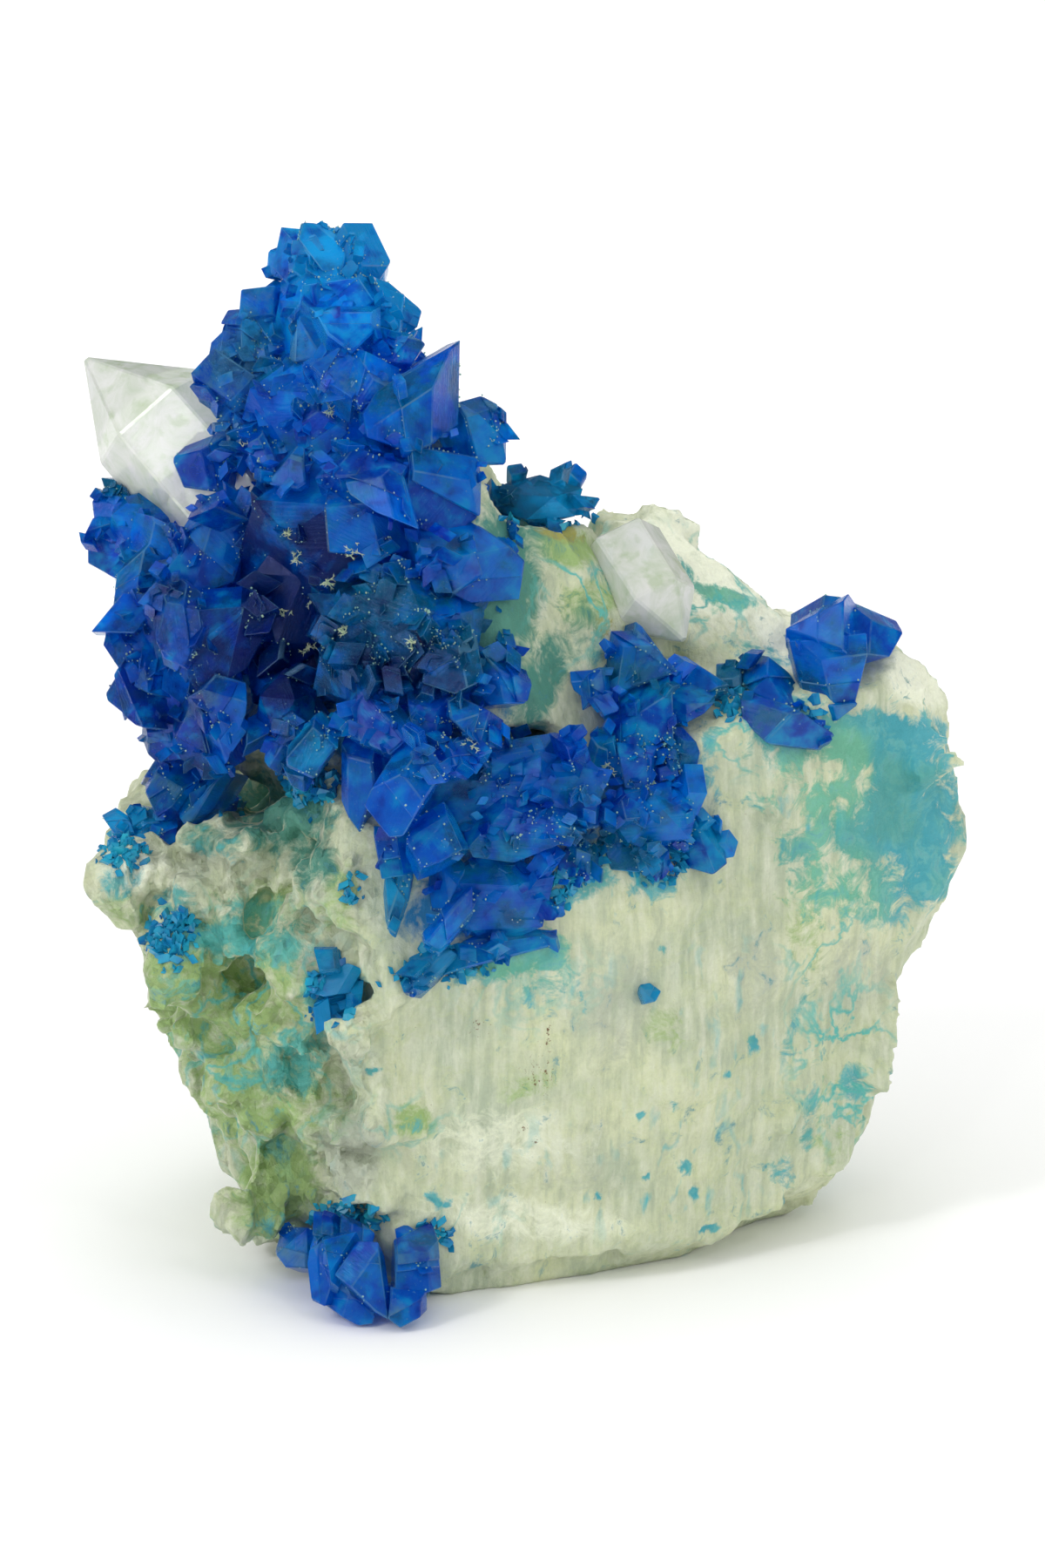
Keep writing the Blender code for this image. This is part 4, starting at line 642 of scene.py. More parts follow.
def placed(bm, place, turn):
    """The bmesh turned about the origin and moved to its place."""
    bmesh.ops.transform(bm, matrix=Matrix.Translation(place) @ turn.to_4x4(), verts=bm.verts)
    return bm


def lobe_directions(count):
    """Directions spread evenly over a ball."""
    golden = math.pi * (3 - math.sqrt(5))
    for number in range(count):
        up = 1 - 2 * (number + 0.5) / count
        out = math.sqrt(1 - up * up)
        yield Vector((out * math.cos(golden * number), out * math.sin(golden * number), up))


def turned_out(outward, tilt, chance, spin=None):
    """A turn that points +Z outward, give or take the tilt, with this spin or any."""
    outward = outward + Vector(chance.uniform(-tilt, tilt) for _ in range(3))
    turn = outward.to_track_quat("Z", "Y").to_matrix()
    return turn @ Matrix.Rotation(chance.uniform(0, math.tau) if spin is None else spin, 3, "Z")


def any_crystal(chance, length, chamfer):
    """A small crystal of about this length."""
    thick = length * chance.uniform(*THICKNESS_SHARE)
    width = thick * chance.uniform(*WIDTH_SHARE)
    return chamfered(small_crystal(chance, width, thick, length), chamfer)


def lobe_crystals(lobe, chance):
    """A lobe's heart and the crystals that stand out of it, but for the side that the listed ones cover."""
    x, rise, inset, across, through, up, count, length = lobe
    centre = clear_of_rock(on_front(x, rise, inset), 0.0)
    radii = Vector((across, through, up)) * MM
    heart = bmesh.new()
    bmesh.ops.create_icosphere(heart, subdivisions=1, radius=1.0)
    bmesh.ops.scale(heart, vec=radii, verts=heart.verts)
    shapes = [placed(heart, centre, Matrix.Identity(3))]
    for direction in lobe_directions(count):
        if direction.dot(SIGHT_LINE) < COVERED_SIDE:
            continue
        place = centre + Vector(r * d for r, d in zip(radii, direction))
        outward = Vector(d / r for r, d in zip(radii, direction)).normalized()
        shapes.append(placed(
            any_crystal(chance, length * chance.uniform(*LENGTH_VARIES), CHAMFER),
            place, turned_out(outward, TILT_VARIES, chance),
        ))
    return shapes


def sprouts(node, count, chance):
    """Small crystals strewn over a CAD node, fewer on its large faces."""
    plain = merged_copy(node)
    bmesh.ops.dissolve_limit(plain, angle_limit=FLAT, verts=plain.verts, edges=plain.edges)
    areas = {face: face.calc_area() / MM ** 2 for face in plain.faces}
    faces = list(areas)
    weights = [areas[face] / (1 + areas[face] / LARGE_FACE) ** 2 for face in faces]
    shapes = []
    for face in chance.choices(faces, weights, k=count):
        corners = [v.co for v in face.verts]
        shares = [chance.random() + CORNER_PULL for _ in corners]
        place = sum((corner * share for corner, share in zip(corners, shares)), Vector()) / sum(shares)
        low, high = SPROUT_LENGTH
        length = low + (high - low) * chance.random() ** SPROUT_POWER
        shapes.append(placed(
            any_crystal(chance, length, SMALL_CHAMFER),
            place - face.normal * length * SPROUT_SUNK * MM,
            turned_out(face.normal, SPROUT_TILT, chance),
        ))
    plain.free()
    return shapes


def crowded(rows, chance):
    """Small crystals crowded on to what the viewer sees, each nearly parallel to its neighbours."""
    shapes = []
    for x, rise, wide, high, count, shortest, longest in rows:
        for _ in range(count):
            angle, reach = chance.uniform(0, math.tau), math.sqrt(chance.random())
            near = seen(x + wide * reach * math.cos(angle), CORNER_Y, rise + high * reach * math.sin(angle))
            hit, normal = solid_tree.ray_cast(near - SIGHT_LINE * VIEW_REACH * MM, SIGHT_LINE)[:2]
            if hit is None:
                continue
            length = shortest + (longest - shortest) * chance.random() ** CROWD_POWER
            spin = math.tau * noise.noise(hit / (PARALLEL_REACH * MM))
            spin += chance.uniform(-CROWD_SPIN, CROWD_SPIN)
            shapes.append(placed(
                any_crystal(chance, length, SMALL_CHAMFER),
                hit - normal * length * CROWD_SUNK * MM,
                turned_out(normal - SIGHT_LINE * CROWD_FORWARD, CROWD_TILT, chance, spin),
            ))
    return shapes


# %% [markdown]
# Crystals that have grown together are one body of one material, and light must run through them without
# meeting the walls between them. So each cluster's crystals are joined by a Boolean union. The faces
# that come out of it are then matched back to the crystals that they came from: that gives every face the
# tone of its own crystal, tells the chamfers from the faces, and lays a UV map along the crystal's length for
# the fine growth lines.

# %% One body from many crystals
# Where the blue differs, by kind, as (x, rise, half width, half height, lean, strength)
BLUES = {
    # The azure patches are a paler blue of the crystals together with a painted glow, where light shines
    # through thin and small crystals.
    "azure_and_painted_glow": (
        (-20, 116, 9, 6, 0, 0.95), (-25, 108, 9, 5, 0, 0.5), (-14, 109.5, 3.5, 5, 30, 1),
        (-46.5, 81, 3.5, 2.5, 0, 0.5), (-23, 60, 4, 4, 0, 0.45), (-14.5, 42, 2.5, 6, 0, 1),
        (-10, 34.5, 6, 4, 20, 0.8), (0.5, 36.5, 6, 3, 0, 0.6), (13, 45.5, 4, 2, 0, 0.6),
        (21.5, 49.5, 4.5, 5, 0, 0.7), (12, 62, 5, 5, 0, 0.45), (-5, 51, 7, 4, 0, 0.4),
        (20, 65.5, 4, 2, 0, 0.5), (-46, 50.5, 5, 3.5, 0, 0.9), (-3, 94, 4, 5, 0, 0.35),
        (5, 87, 4, 3, 0, 0.7), (-40, 38.5, 4, 5, 0, 0.8), (-22, 31.5, 5, 6, 0, 1),
        (14.5, 31.5, 3, 3, 0, 0.9), (30, 61, 4, 3, 0, 0.6),
    ),
    "teal": (
        (-46, 90.5, 6, 3.5, 0, 0.85), (-18, 72, 11, 9, 0, 0.75), (-5, 71, 7, 5, 0, 0.5),
        (-24, 59.5, 5, 5, 0, 0.5), (-10, 34, 7, 3.5, 20, 0.7), (11, 47, 6, 3.5, 0, 0.85),
        (18, 58, 4, 4, 0, 0.7), (14, 68, 5, 4, 0, 0.6), (-3, 47, 7, 4, 0, 0.5),
        (-30, 104, 5, 7, 0, 0.5), (-13, 99, 5, 3, 0, 0.4), (-38, 53, 8, 4, 0, 0.6),
        (-3, 98, 5, 5, 0, 0.55), (2, 87.5, 7, 5, 0, 1), (-40, 38.5, 4, 5, 0, 0.5),
        (-23, 33.5, 4, 4, 0, 0.7), (24, 66, 4, 5, 0, 0.8), (-21, 5, 5, 2.5, 0, 0.6),
    ),
    "dusty": (
        (-32.5, 103, 4, 9, -10, 0.6), (-25, 106, 2.5, 5, 0, 0.5), (-20, 100, 7, 2.5, 0, 0.35),
        (-16, 75, 8, 5, 0, 0.35),
    ),
    # The navy patches are painted shade: they darken the gaps between the lobes and the cluster's deep parts.
    "navy_painted_shade": (
        (-27.5, 74, 6, 14, 0, 1), (-14, 68, 8, 5, 0, 0.5), (-40, 68, 8, 14, 0, 0.55),
        (-17, 69, 8, 8, 0, 0.45), (-24, 82, 5, 5, 0, 0.8), (-30, 86, 5, 4, 0, 0.5),
    ),
}
PATCH_FADE = (0.35, 1.35)  # a patch fades out between these shares of its half size


def ramp(value, low, high):
    """0 up to low, 1 from high on, and a smooth rise between."""
    share = np.clip((value - low) / (high - low), 0, 1)
    return share * share * (3 - 2 * share)


def spread_of(rows, x, rise):
    """How strongly each place is covered by the patches of a table, from 0 to 1."""
    amount = np.zeros(len(x))
    for middle_x, middle_rise, wide, high, lean, strength in rows:
        turn = math.radians(lean)
        dx, dy = x - middle_x, rise - middle_rise
        u = (dx * math.cos(turn) + dy * math.sin(turn)) / wide
        v = (dy * math.cos(turn) - dx * math.sin(turn)) / high
        amount = np.maximum(amount, strength * (1 - ramp(np.sqrt(u * u + v * v), *PATCH_FADE)))
    return amount


TABLE_GAP = 0.3  # a crystal that would reach below this is cut short there
CHAMFER_AREA = 0.12  # a face under this share of its crystal's largest one is a chamfer
END_ON = 0.2  # how much of the long axis has to lie in a face for the lines to follow it
UV_APART = (97, 31)  # how far the lines of one tone are from those of another


def crystal_faces(shapes, chance):
    """A search tree of all the crystals' faces, and each face's tone, chamfer mark and long axis."""
    points, faces, facts = [], [], []
    for bm in shapes:
        bm.verts.index_update()
        start = len(points)
        points.extend(v.co.copy() for v in bm.verts)
        longest = max(bm.edges, key=lambda edge: edge.calc_length())
        axis = (longest.verts[1].co - longest.verts[0].co).normalized()
        tone = chance.random()
        largest = max(face.calc_area() for face in bm.faces)
        for face in bm.faces:
            faces.append([start + v.index for v in face.verts])
            facts.append((tone, float(face.calc_area() < largest * CHAMFER_AREA), axis))
    return BVHTree.FromPolygons(points, faces), facts


def united(name, shapes):
    """One object from overlapping crystals, cut short above the table."""
    cluster = new_object(name, shapes[0])
    others = bpy.data.collections.new(name + "_crystals")
    for number, bm in enumerate(shapes[1:]):
        mesh = bpy.data.meshes.new("crystal")
        bm.to_mesh(mesh)
        bm.free()
        others.objects.link(bpy.data.objects.new(f"crystal_{number}", mesh))
    join = cluster.modifiers.new("fuse", "BOOLEAN")
    join.operation = "UNION"
    join.solver = "MANIFOLD"
    join.operand_type = "COLLECTION"
    join.collection = others
    made_plain(cluster)
    for v in cluster.data.vertices:
        v.co.z = max(v.co.z, TABLE_GAP * MM)
    for other in list(others.objects):
        bpy.data.objects.remove(other)
    bpy.data.collections.remove(others)
    return cluster


def fused(name, shapes, chance):
    """A piece from overlapping crystals, with tone and edge attributes and a UV map along each crystal."""
    source, facts = crystal_faces(shapes, chance)
    cluster = united(name, shapes)
    mesh = cluster.data
    bm = bmesh.new()
    bm.from_mesh(mesh)
    tone_layer = bm.faces.layers.float.new("tone")
    edge_layer = bm.faces.layers.float.new("edge")
    uv_layer = bm.loops.layers.uv.new("grain")
    for face in bm.faces:
        tone, chamfer, axis = facts[source.find_nearest(face.calc_center_median())[2]]
        face[tone_layer] = tone
        face[edge_layer] = chamfer
        along = axis - face.normal * axis.dot(face.normal)
        if along.length < END_ON:
            along = face.normal.orthogonal()
        along.normalize()
        across = face.normal.cross(along)
        for loop in face.loops:
            loop[uv_layer].uv = (loop.vert.co.dot(along) / MM + UV_APART[0] * tone,
                                 loop.vert.co.dot(across) / MM + UV_APART[1] * tone)
    bm.to_mesh(mesh)
    bm.free()
    middles = np.empty(len(mesh.polygons) * 3)
    mesh.polygons.foreach_get("center", middles)
    x, rise = as_seen(middles.reshape(-1, 3))
    for kind, rows in BLUES.items():
        layer = mesh.attributes.new(kind, "FLOAT", "FACE")
        layer.data.foreach_set("value", spread_of(rows, x, rise))
    print(name, "has", triangles(mesh), "triangles")
    return cluster


# %% [markdown]
# Now every cluster is made: the crystals of its table, the lobes and crowds of the large one, and the
# strewn small ones, all from one seed per cluster, so that the specimen is the same each time.

# %% The clusters
STRAY_SPROUTS = {
    "chalcanthite_main_cluster": 360,
    "chalcanthite_shoulder_cluster": 16,
    "chalcanthite_foot_cluster": 16,
    "chalcanthite_pocket_cluster": 3,
    "chalcanthite_crevice_cluster": 4,
}
BACK_SPROUTS = 24
clusters = {}
for node, rows in CLUSTERS.items():
    chance = random.Random(node)
    shapes = listed_crystals(rows, chance)
    if node == "chalcanthite_main_cluster":
        for lobe in LOBES:
            shapes.extend(lobe_crystals(lobe, chance))
        shapes.extend(crowded(CROWDS, chance))
    shapes.extend(sprouts(node, STRAY_SPROUTS.get(node, 0), chance))
    clusters[node] = fused(node.replace("chalcanthite_", "blue_"), shapes, chance)
chance = random.Random(3)
shapes = lobe_crystals(BACK_DRUSE, chance) + sprouts("chalcanthite_back_druse", BACK_SPROUTS, chance)
clusters["chalcanthite_back_druse"] = fused("blue_back_druse", shapes, chance)

# %% [markdown]
# The rock is broken quartz: a nearly flat front face with fine upright streaks, and a left side that has
# split into ledges, ribs and a recess. The plain solid has the blocks. Here a copy of it is joined with
# smaller ledges and remeshed into small even faces, which can then be moved one by one.

# %% The rock's shape
ROCK_VOXEL = 0.5
ROCK_TRIANGLES = 190000
CORNER_SHARE = (0.62, 1.0)  # how much of a ledge's size each of its corners reaches
# Ledges and ribs, as (x, rise, inset, lean, nod, spin, width, thickness, length)
LEDGES = (
    (-25.0, 40.0, 0.5, 28, 0, 20, 9, 6, 12),
    (-19.5, 46.0, -0.5, 4, 0, 10, 4, 5, 17),
    (-16.0, 34.5, -1.0, -14, 4, 40, 6, 5, 13),
    (-23.5, 32.0, 0.5, -40, 5, 15, 6, 6, 13),
    (-24.5, 34.5, -1.0, 82, 0, 30, 3.5, 4, 8),
    (-28.5, 26.0, 0.5, -30, 0, 35, 8, 6, 12),
    (-20.0, 12.5, 0.0, -8, 0, 30, 8.5, 7, 12),
    (-29.0, 8.5, 1.0, 24, 0, 10, 7, 6, 12),
    (-36.0, 27.5, 1.0, -32, 6, 20, 9, 6, 10),
    (-32.0, 18.0, 1.0, -48, 0, 15, 7, 6, 10),
    (-38.5, 38.0, 0.0, -20, 0, 25, 9, 7, 9),
    (-25.0, 19.0, 0.0, -25, 0, 10, 7, 5, 11),
    (-40.0, 44.3, 0.5, 84, 0, 20, 4.5, 6, 19),
    (-31.5, 40.5, 1.5, -24, 0, 30, 11, 8, 11),
    (-34.5, 31.5, 2.0, -60, 0, 20, 10, 8, 12),
    (-28.5, 47.0, 3.0, 70, 0, 20, 9, 8, 15),
    (-25.5, 26.5, -0.5, -52, 8, 15, 6, 6, 13),
    (-31.0, 23.0, 0.0, 35, 0, 25, 6, 6, 11),
    (-17.5, 30.0, 0.7, 24, 0, 30, 5, 4.5, 9),
    (-16.3, 23.5, 0.7, -18, 0, 20, 5, 4.5, 9),
    (-17.3, 17.0, 0.7, 26, 0, 35, 5, 4.5, 9),
    (-16.0, 10.0, 0.7, -20, 0, 15, 5, 4.5, 8),
    (-11.0, 5.0, 0.7, 60, 0, 25, 4, 4, 9),
    (-36.0, 33.5, 1.5, 30, 0, 15, 9, 7, 11),
    (-14.0, 20.0, 0.5, 12, 0, 25, 7, 5, 16),
    (33.0, 25.0, 0.5, 16, 0, 20, 4, 3, 24),
    (41.0, 26.0, 3.0, 8, 0, 30, 6, 7, 16),
    (46.0, 60.0, 3.0, -28, 0, 20, 8, 7, 14),
    (25.0, 55.0, 1.0, -60, 0, 30, 6, 5, 14),
)


def turned(lean, nod, spin):
    """A turn as the viewer sees it: lean to the right, nod to the viewer, spin about the length."""
    turn = Matrix.Rotation(-SIGHT, 3, "X")
    for axis, angle in {"Y": lean, "X": nod, "Z": spin}.items():
        turn = turn @ Matrix.Rotation(math.radians(angle), 3, axis)
    return turn


def broken_block(chance, width, thickness, length):
    """A rough box of rock with every corner knocked a little out of place."""
    bm = bmesh.new()
    bmesh.ops.create_cube(bm, size=1.0)
    for v in bm.verts:
        for i, size in enumerate((width, thickness, length)):
            v.co[i] *= size * MM * chance.uniform(*CORNER_SHARE)
    return bm


def remeshed(rock, smoothing):
    """Rebuilds the rock's mesh from small even faces, smoothed a little."""
    remesh = rock.modifiers.new("join", "REMESH")
    remesh.mode = "VOXEL"
    remesh.voxel_size = ROCK_VOXEL * MM
    smooth = rock.modifiers.new("soften", "SMOOTH")
    smooth.factor = 0.5
    smooth.iterations = smoothing
    made_plain(rock)


chance = random.Random(5)
bm = plain_rock.copy()
for x, rise, inset, lean, nod, spin, width, thickness, length in LEDGES:
    ledge = placed(
        broken_block(chance, width, thickness, length), on_front(x, rise, inset), turned(lean, nod, spin)
    )
    mesh = bpy.data.meshes.new("ledge")
    ledge.to_mesh(mesh)
    ledge.free()
    bm.from_mesh(mesh)
    bpy.data.meshes.remove(mesh)
rock = new_object("quartz_matrix", bm)
remeshed(rock, 0)
print("the rock has", len(rock.data.polygons), "faces before its relief")

# %% [markdown]
# Broken rock is a heap of flat breaks with steep little steps between them. Such a surface comes from a
# Voronoi pattern: the space is split into cells, and every cell gets a plane of its own, with a random tilt
# and height. Large cells give the ledges of the left side and small ones its chips. The cells are drawn out
# along a slanting line, because the rock splits along one direction. The front face is smoother, with upright
# streaks, because the quartz grew in thin columns there. Each vertex is moved along its own normal by the sum
# of all this. The foot stays flat.

# %% The rock's relief
# As (cell size, height on rough rock, height on smooth rock)
CRAGS = ((9.0, 1.7, 0.16), (4.2, 1.0, 0.08), (2.2, 0.35, 0.03))
CRAG_TILT = 2.0
CRAG_APART = 37.0  # makes neighbouring cells draw unlike planes
BEND_SIZE = 5.0
BEND = 0.3  # how much the breaks' edges wander
SPLIT_LINE = Vector((0.42, 0.2, 0.88)).normalized()  # the direction that the rock splits along
SPLIT_SHARE = 0.5
SWELL_SIZE = 16.0
SWELL_HEIGHT = 0.8
GRAIN_SIZE = 1.1
GRAIN_HEIGHT = 0.14
STREAK_WIDTH = 1.3
STREAK_LENGTH = 9.0
STREAK_HEIGHT = 0.22
UNDERCUT_TOP = 7.0  # below this the sides draw in, in chips
UNDERCUT = 1.6
UNDERCUT_CHIP = 6.0
UNDERCUT_VARIES = 0.7
FOOT_FADE = (0.1, 2.0)  # the foot's relief grows from nothing to full between these heights
FACING_DOWN = -0.5
FACING_FULL = 0.3  # a vertex that faces the viewer this much or more is one that shows
LEFT_SIDE = (14, 19)  # how far left the smooth front ends and the broken side starts
HIDDEN_ROUGH = 0.7
STREAKS_END = (-60, -50)  # the streaks start under a rise of 60 and are full from 50 down
SHARP_FROM = 32.0  # faces that meet at a larger angle than this get a crisp edge
BEND_SEED = 7  # without a seed, noise_vector would follow the clock


def crag(place):
    """A plane of its own for each cell of a Voronoi pattern: about -1 to 1."""
    cell = noise.voronoi(place)[1][0]
    chance = noise.cell_vector(cell * CRAG_APART) - Vector((0.5, 0.5, 0.5))
    return 2.0 * chance.x + CRAG_TILT * (place - cell).dot(chance)


def breaks(point, rough, upright):
    """How far the flat breaks stand out at a point, in millimetres."""
    p = point / MM
    bent = p + noise.noise_vector(p / BEND_SIZE) * BEND
    bent -= SPLIT_LINE * bent.dot(SPLIT_LINE) * SPLIT_SHARE
    height = SWELL_HEIGHT * noise.noise(p / SWELL_SIZE)
    for size, on_rough, on_smooth in CRAGS:
        height += (on_smooth + (on_rough - on_smooth) * rough) * crag(bent / size)
    under = max(0.0, 1 - p.z / UNDERCUT_TOP)
    return height - UNDERCUT * under * (1.0 + UNDERCUT_VARIES * crag(bent / UNDERCUT_CHIP))


def fine_relief(point, rough, upright):
    """How far the grain and the streaks stand out at a point, in millimetres."""
    p = point / MM
    streak = noise.noise(Vector((p.x / STREAK_WIDTH, p.y / STREAK_WIDTH, p.z / STREAK_LENGTH)))
    return GRAIN_HEIGHT * noise.fractal(p / GRAIN_SIZE, 0.8, 2.0, 3) + STREAK_HEIGHT * upright * streak


def how_it_shows(mesh):
    """The mesh's points, the x and rise that each shows at, how much it faces the viewer, and its normal."""
    points = np.empty(len(mesh.vertices) * 3)
    mesh.vertices.foreach_get("co", points)
    points = points.reshape(-1, 3)
    normals = np.array([v.vector for v in mesh.vertex_normals])
    return points, *as_seen(points), ramp(-(normals @ np.array(SIGHT_LINE)), 0.0, FACING_FULL), normals


def how_rough(x, facing):
    """Where the broken left side lies, and how rough each vertex is, both from 0 to 1."""
    left_side = ramp(-x, *LEFT_SIDE) * facing
    return left_side, np.maximum(left_side, HIDDEN_ROUGH * (1 - facing))


def moved_out(mesh, height_at):
    """Moves every vertex along its normal."""
    points, x, rise, facing, normals = how_it_shows(mesh)
    left_side, rough = how_rough(x, facing)
    upright = facing * (1 - left_side) * ramp(-rise, *STREAKS_END)
    heights = [height_at(Vector(p), r, u) for p, r, u in zip(points, rough, upright)]
    fade = np.where(normals[:, 2] < FACING_DOWN, ramp(points[:, 2] / MM, *FOOT_FADE), 1.0)
    lowest = np.minimum(points[:, 2], 0.0)
    points += normals * (np.array(heights) * fade * MM)[:, None]
    points[:, 2] = np.maximum(points[:, 2], lowest)
    mesh.vertices.foreach_set("co", points.ravel())
    mesh.update()
    print(height_at.__name__, "moves it by", round(min(heights), 2), "to", round(max(heights), 2), "mm")


# Large moves leave folds, so the mesh is rebuilt between the breaks and the fine relief. In the end the flat
# places give up most of their faces, so that the ledges can keep theirs.
noise.seed_set(BEND_SEED)
moved_out(rock.data, breaks)
remeshed(rock, 1)
moved_out(rock.data, fine_relief)
thin = rock.modifiers.new("thin", "DECIMATE")
thin.ratio = ROCK_TRIANGLES / (2 * len(rock.data.polygons))
made_plain(rock)
points, seen_x, seen_rise, facing = how_it_shows(rock.data)[:4]
print("the rock has", triangles(rock.data), "triangles")

# %% [markdown]
# Copper salts have seeped over the rock. Where they lie is written in a table: the kind of stain, its middle
# as the viewer sees it, its half width and half height, how far it leans, and how strong it is. Each kind
# becomes a number on every vertex, which the material then breaks up with fine noise, so the edges come out
# ragged. On the sides that the viewer can't see, slow noise decides.

# %% Where the rock is stained
# By kind, as (x, rise, half width, half height, lean, strength)
STAINS = {
    "turquoise": (
        (41, 60, 11, 4.5, 0, 1), (33, 60.5, 7, 5, 0, 0.7), (37, 52, 7, 9, 0, 0.62),
        (29, 57, 5, 8, 0, 0.45), (41, 43, 7, 6, 0, 0.7), (34, 46, 6, 8, 0, 0.55),
        (44.5, 52, 8, 9, 0, 1), (40, 50, 7, 5, 20, 0.9), (47, 44.5, 4.5, 4.5, 0, 0.9),
        (38, 42.5, 4, 3, 0, 0.55), (29.5, 62.5, 5, 3.5, -8, 0.8), (21.5, 58, 1.6, 6, 0, 0.5),
        (-1.5, 35.5, 7.5, 3.5, 8, 0.95), (6, 44, 10, 3, 25, 0.7), (2, 33, 6, 4, 0, 0.5),
        (15, 44, 4, 3, 0, 0.5), (22.7, 77, 4.5, 1.2, -18, 0.85), (19, 80, 5, 0.8, -40, 0.5),
        (24.5, 75.5, 5, 0.9, 12, 0.5), (28, 70, 4, 1.3, -20, 0.6), (9, 79, 3, 2, -35, 0.5),
        (-33, 36.8, 7.5, 2.8, -6, 0.75), (-27, 22.5, 5.5, 5, 10, 0.7), (-22, 31.5, 4.5, 3, 0, 0.7),
        (-40, 41.5, 5, 3, 0, 0.5), (-31, 13, 3, 3, 0, 0.35), (-36, 48, 7, 3, 0, 0.35),
        (-30, 38, 8, 5, -20, 0.6), (-35, 27, 5, 6, 20, 0.35), (-29, 5, 4, 3, 0, 0.4),
        (-46, 43.5, 4, 3, 0, 0.45), (-12.5, 16, 2.6, 1.4, -12, 0.5), (38.5, 20, 2, 3, 0, 0.6),
        (33.5, 17, 1.3, 8, -8, 0.5), (31.5, 28, 1, 8, -14, 0.4), (30.5, 10, 2.5, 2.5, 0, 0.5),
        (26.7, 25, 0.9, 1.2, 0, 1), (18.7, 10.5, 0.8, 1.3, -15, 1), (19.8, 7.7, 0.7, 1.1, 0, 0.9),
        (17.5, 18, 0.6, 0.9, 0, 0.8), (14.6, 9.7, 0.7, 0.7, 0, 0.9), (21.5, 3.4, 1.6, 0.6, 10, 1),
        (8.6, 7.5, 0.8, 0.6, 0, 0.8), (-17, 22.4, 1.3, 0.7, 10, 0.9), (-9.5, 7, 2.2, 0.7, -30, 0.9),
        (13.5, 17, 0.5, 0.8, 0, 0.8), (6.8, 30.5, 0.5, 2.6, 10, 0.5), (23.6, 21.5, 0.6, 0.8, 0, 0.7),
        (16, 36, 1.2, 0.8, 0, 0.6),
    ),
    "teal": (
        (-3, 76, 6, 14, -14, 1), (2, 66, 3, 8, -20, 0.9), (7, 72, 3, 7, -15, 0.5),
        (-28, 52, 8, 5.5, 0, 0.9), (-24, 46.5, 3.5, 4, 0, 0.8), (-35, 49, 6, 2.5, 0, 0.6),
    ),
    "green": (
        (4.5, 82, 5.5, 3, -10, 0.8), (8, 76, 3.5, 4.5, -35, 0.65), (-35, 31, 13, 12, 0, 0.8),
        (-30, 20, 11, 9, 0, 0.75), (-28.5, 9, 6, 9, 0, 0.85), (-21, 42, 3, 5, 0, 0.5),
        (-29, 40, 5, 5, 0, 0.55), (-45, 40.5, 4, 3, 0, 0.6), (-12.5, 16.5, 3.2, 2.2, -12, 0.85),
        (-13, 43, 2.5, 5, 0, 0.4), (16.5, 27, 3, 3, 0, 0.45), (32, 41, 3, 10, 8, 0.4),
        (45, 57, 4, 8, 0, 0.25), (36, 15, 4, 8, 12, 0.35), (0.5, 20, 4, 2, 30, 0.4),
    ),
    "ochre": ((4, 84, 3.5, 1.2, -15, 0.8), (9.5, 73.5, 1.6, 3.2, 15, 0.5)),
    "clear": (
        (-37, 46, 6, 3, 0, 0.6), (-19.5, 13, 4.2, 5.5, 0, 1), (-24.5, 34.5, 4, 1.6, 0, 0.8),
        (10, 30, 6, 9, 0, 0.5), (39, 33, 5, 5, 0, 0.5), (6, 12, 8, 7, 0, 0.4),
        (27, 33, 5, 7, 0, 0.45), (15, 77, 4, 5, -25, 0.6), (-20, 24, 4, 2.5, 0, 0.5),
    ),
    "cream": (
        (20, 83, 9, 4, -20, 1), (20, 81, 11, 8, -25, 1), (31, 73, 6, 6, -40, 0.9),
        (46, 67, 5, 4, -40, 0.9), (47, 61, 3, 3, 0, 0.7), (0, 5, 14, 3, -4, 0.6),
        (-2, 14, 12, 5, 0, 0.45), (-44, 45, 5, 4, 0, 0.7),
    ),
    "brown": (
        (3, 27, 0.7, 0.8, 0, 0.55), (2.6, 25.2, 0.6, 0.7, 0, 0.5), (2, 22, 2.6, 2.6, 10, 0.3),
        (0, 15.4, 0.8, 0.6, 0, 0.5), (1.4, 13.8, 0.6, 0.9, 0, 0.5), (-5, 27.5, 1.2, 1.2, 0, 0.35),
    ),
    "vein": (
        (37.5, 23, 7, 12, 8, 1), (35, 37, 5, 7, -20, 0.8), (20, 78, 9, 6, -20, 1),
        (7, 77, 6, 9, -25, 1), (1, 32, 9, 6, 0, 0.35), (-31, 27, 12, 16, 0, 0.9),
        (-13, 16, 6, 4, -12, 0.5), (25, 61, 6, 5, 0, 0.9), (-8, 4, 9, 4, 0, 0.35),
    ),
    "fleck": (
        (9, 43, 9, 7, 0, 1), (3, 34, 8, 5, 0, 0.8), (3, 9, 10, 8, 0, 0.45),
        (18, 9, 10, 10, 0, 0.85), (32, 48, 6, 10, 0, 0.8), (-30, 25, 12, 16, 0, 0.8),
        (-12, 9, 6, 6, 0, 0.4), (24, 27, 10, 12, 0, 0.45),
    ),
    "mint": (
        (33, 55, 9, 10, 0, 0.9), (36, 44, 7, 6, 0, 0.9), (0, 36, 11, 5, 0, 0.7),
        (22, 76, 9, 5, -20, 0.9), (-28, 30, 14, 20, 0, 0.6),
    ),
    "blue": (
        (-22, 85, 15, 24, 0, 1), (-38, 70, 10, 14, 0, 1), (-14, 62, 12, 8, 0, 1),
        (-5, 51, 11, 7, -10, 1), (10, 52, 11, 4.5, 0, 1), (15, 59, 5, 9, 0, 1),
        (-7, 41, 8, 4.5, 10, 1),
    ),
}
HIDDEN_PATCH = 14.0  # the size of the stains on the sides that can't be seen
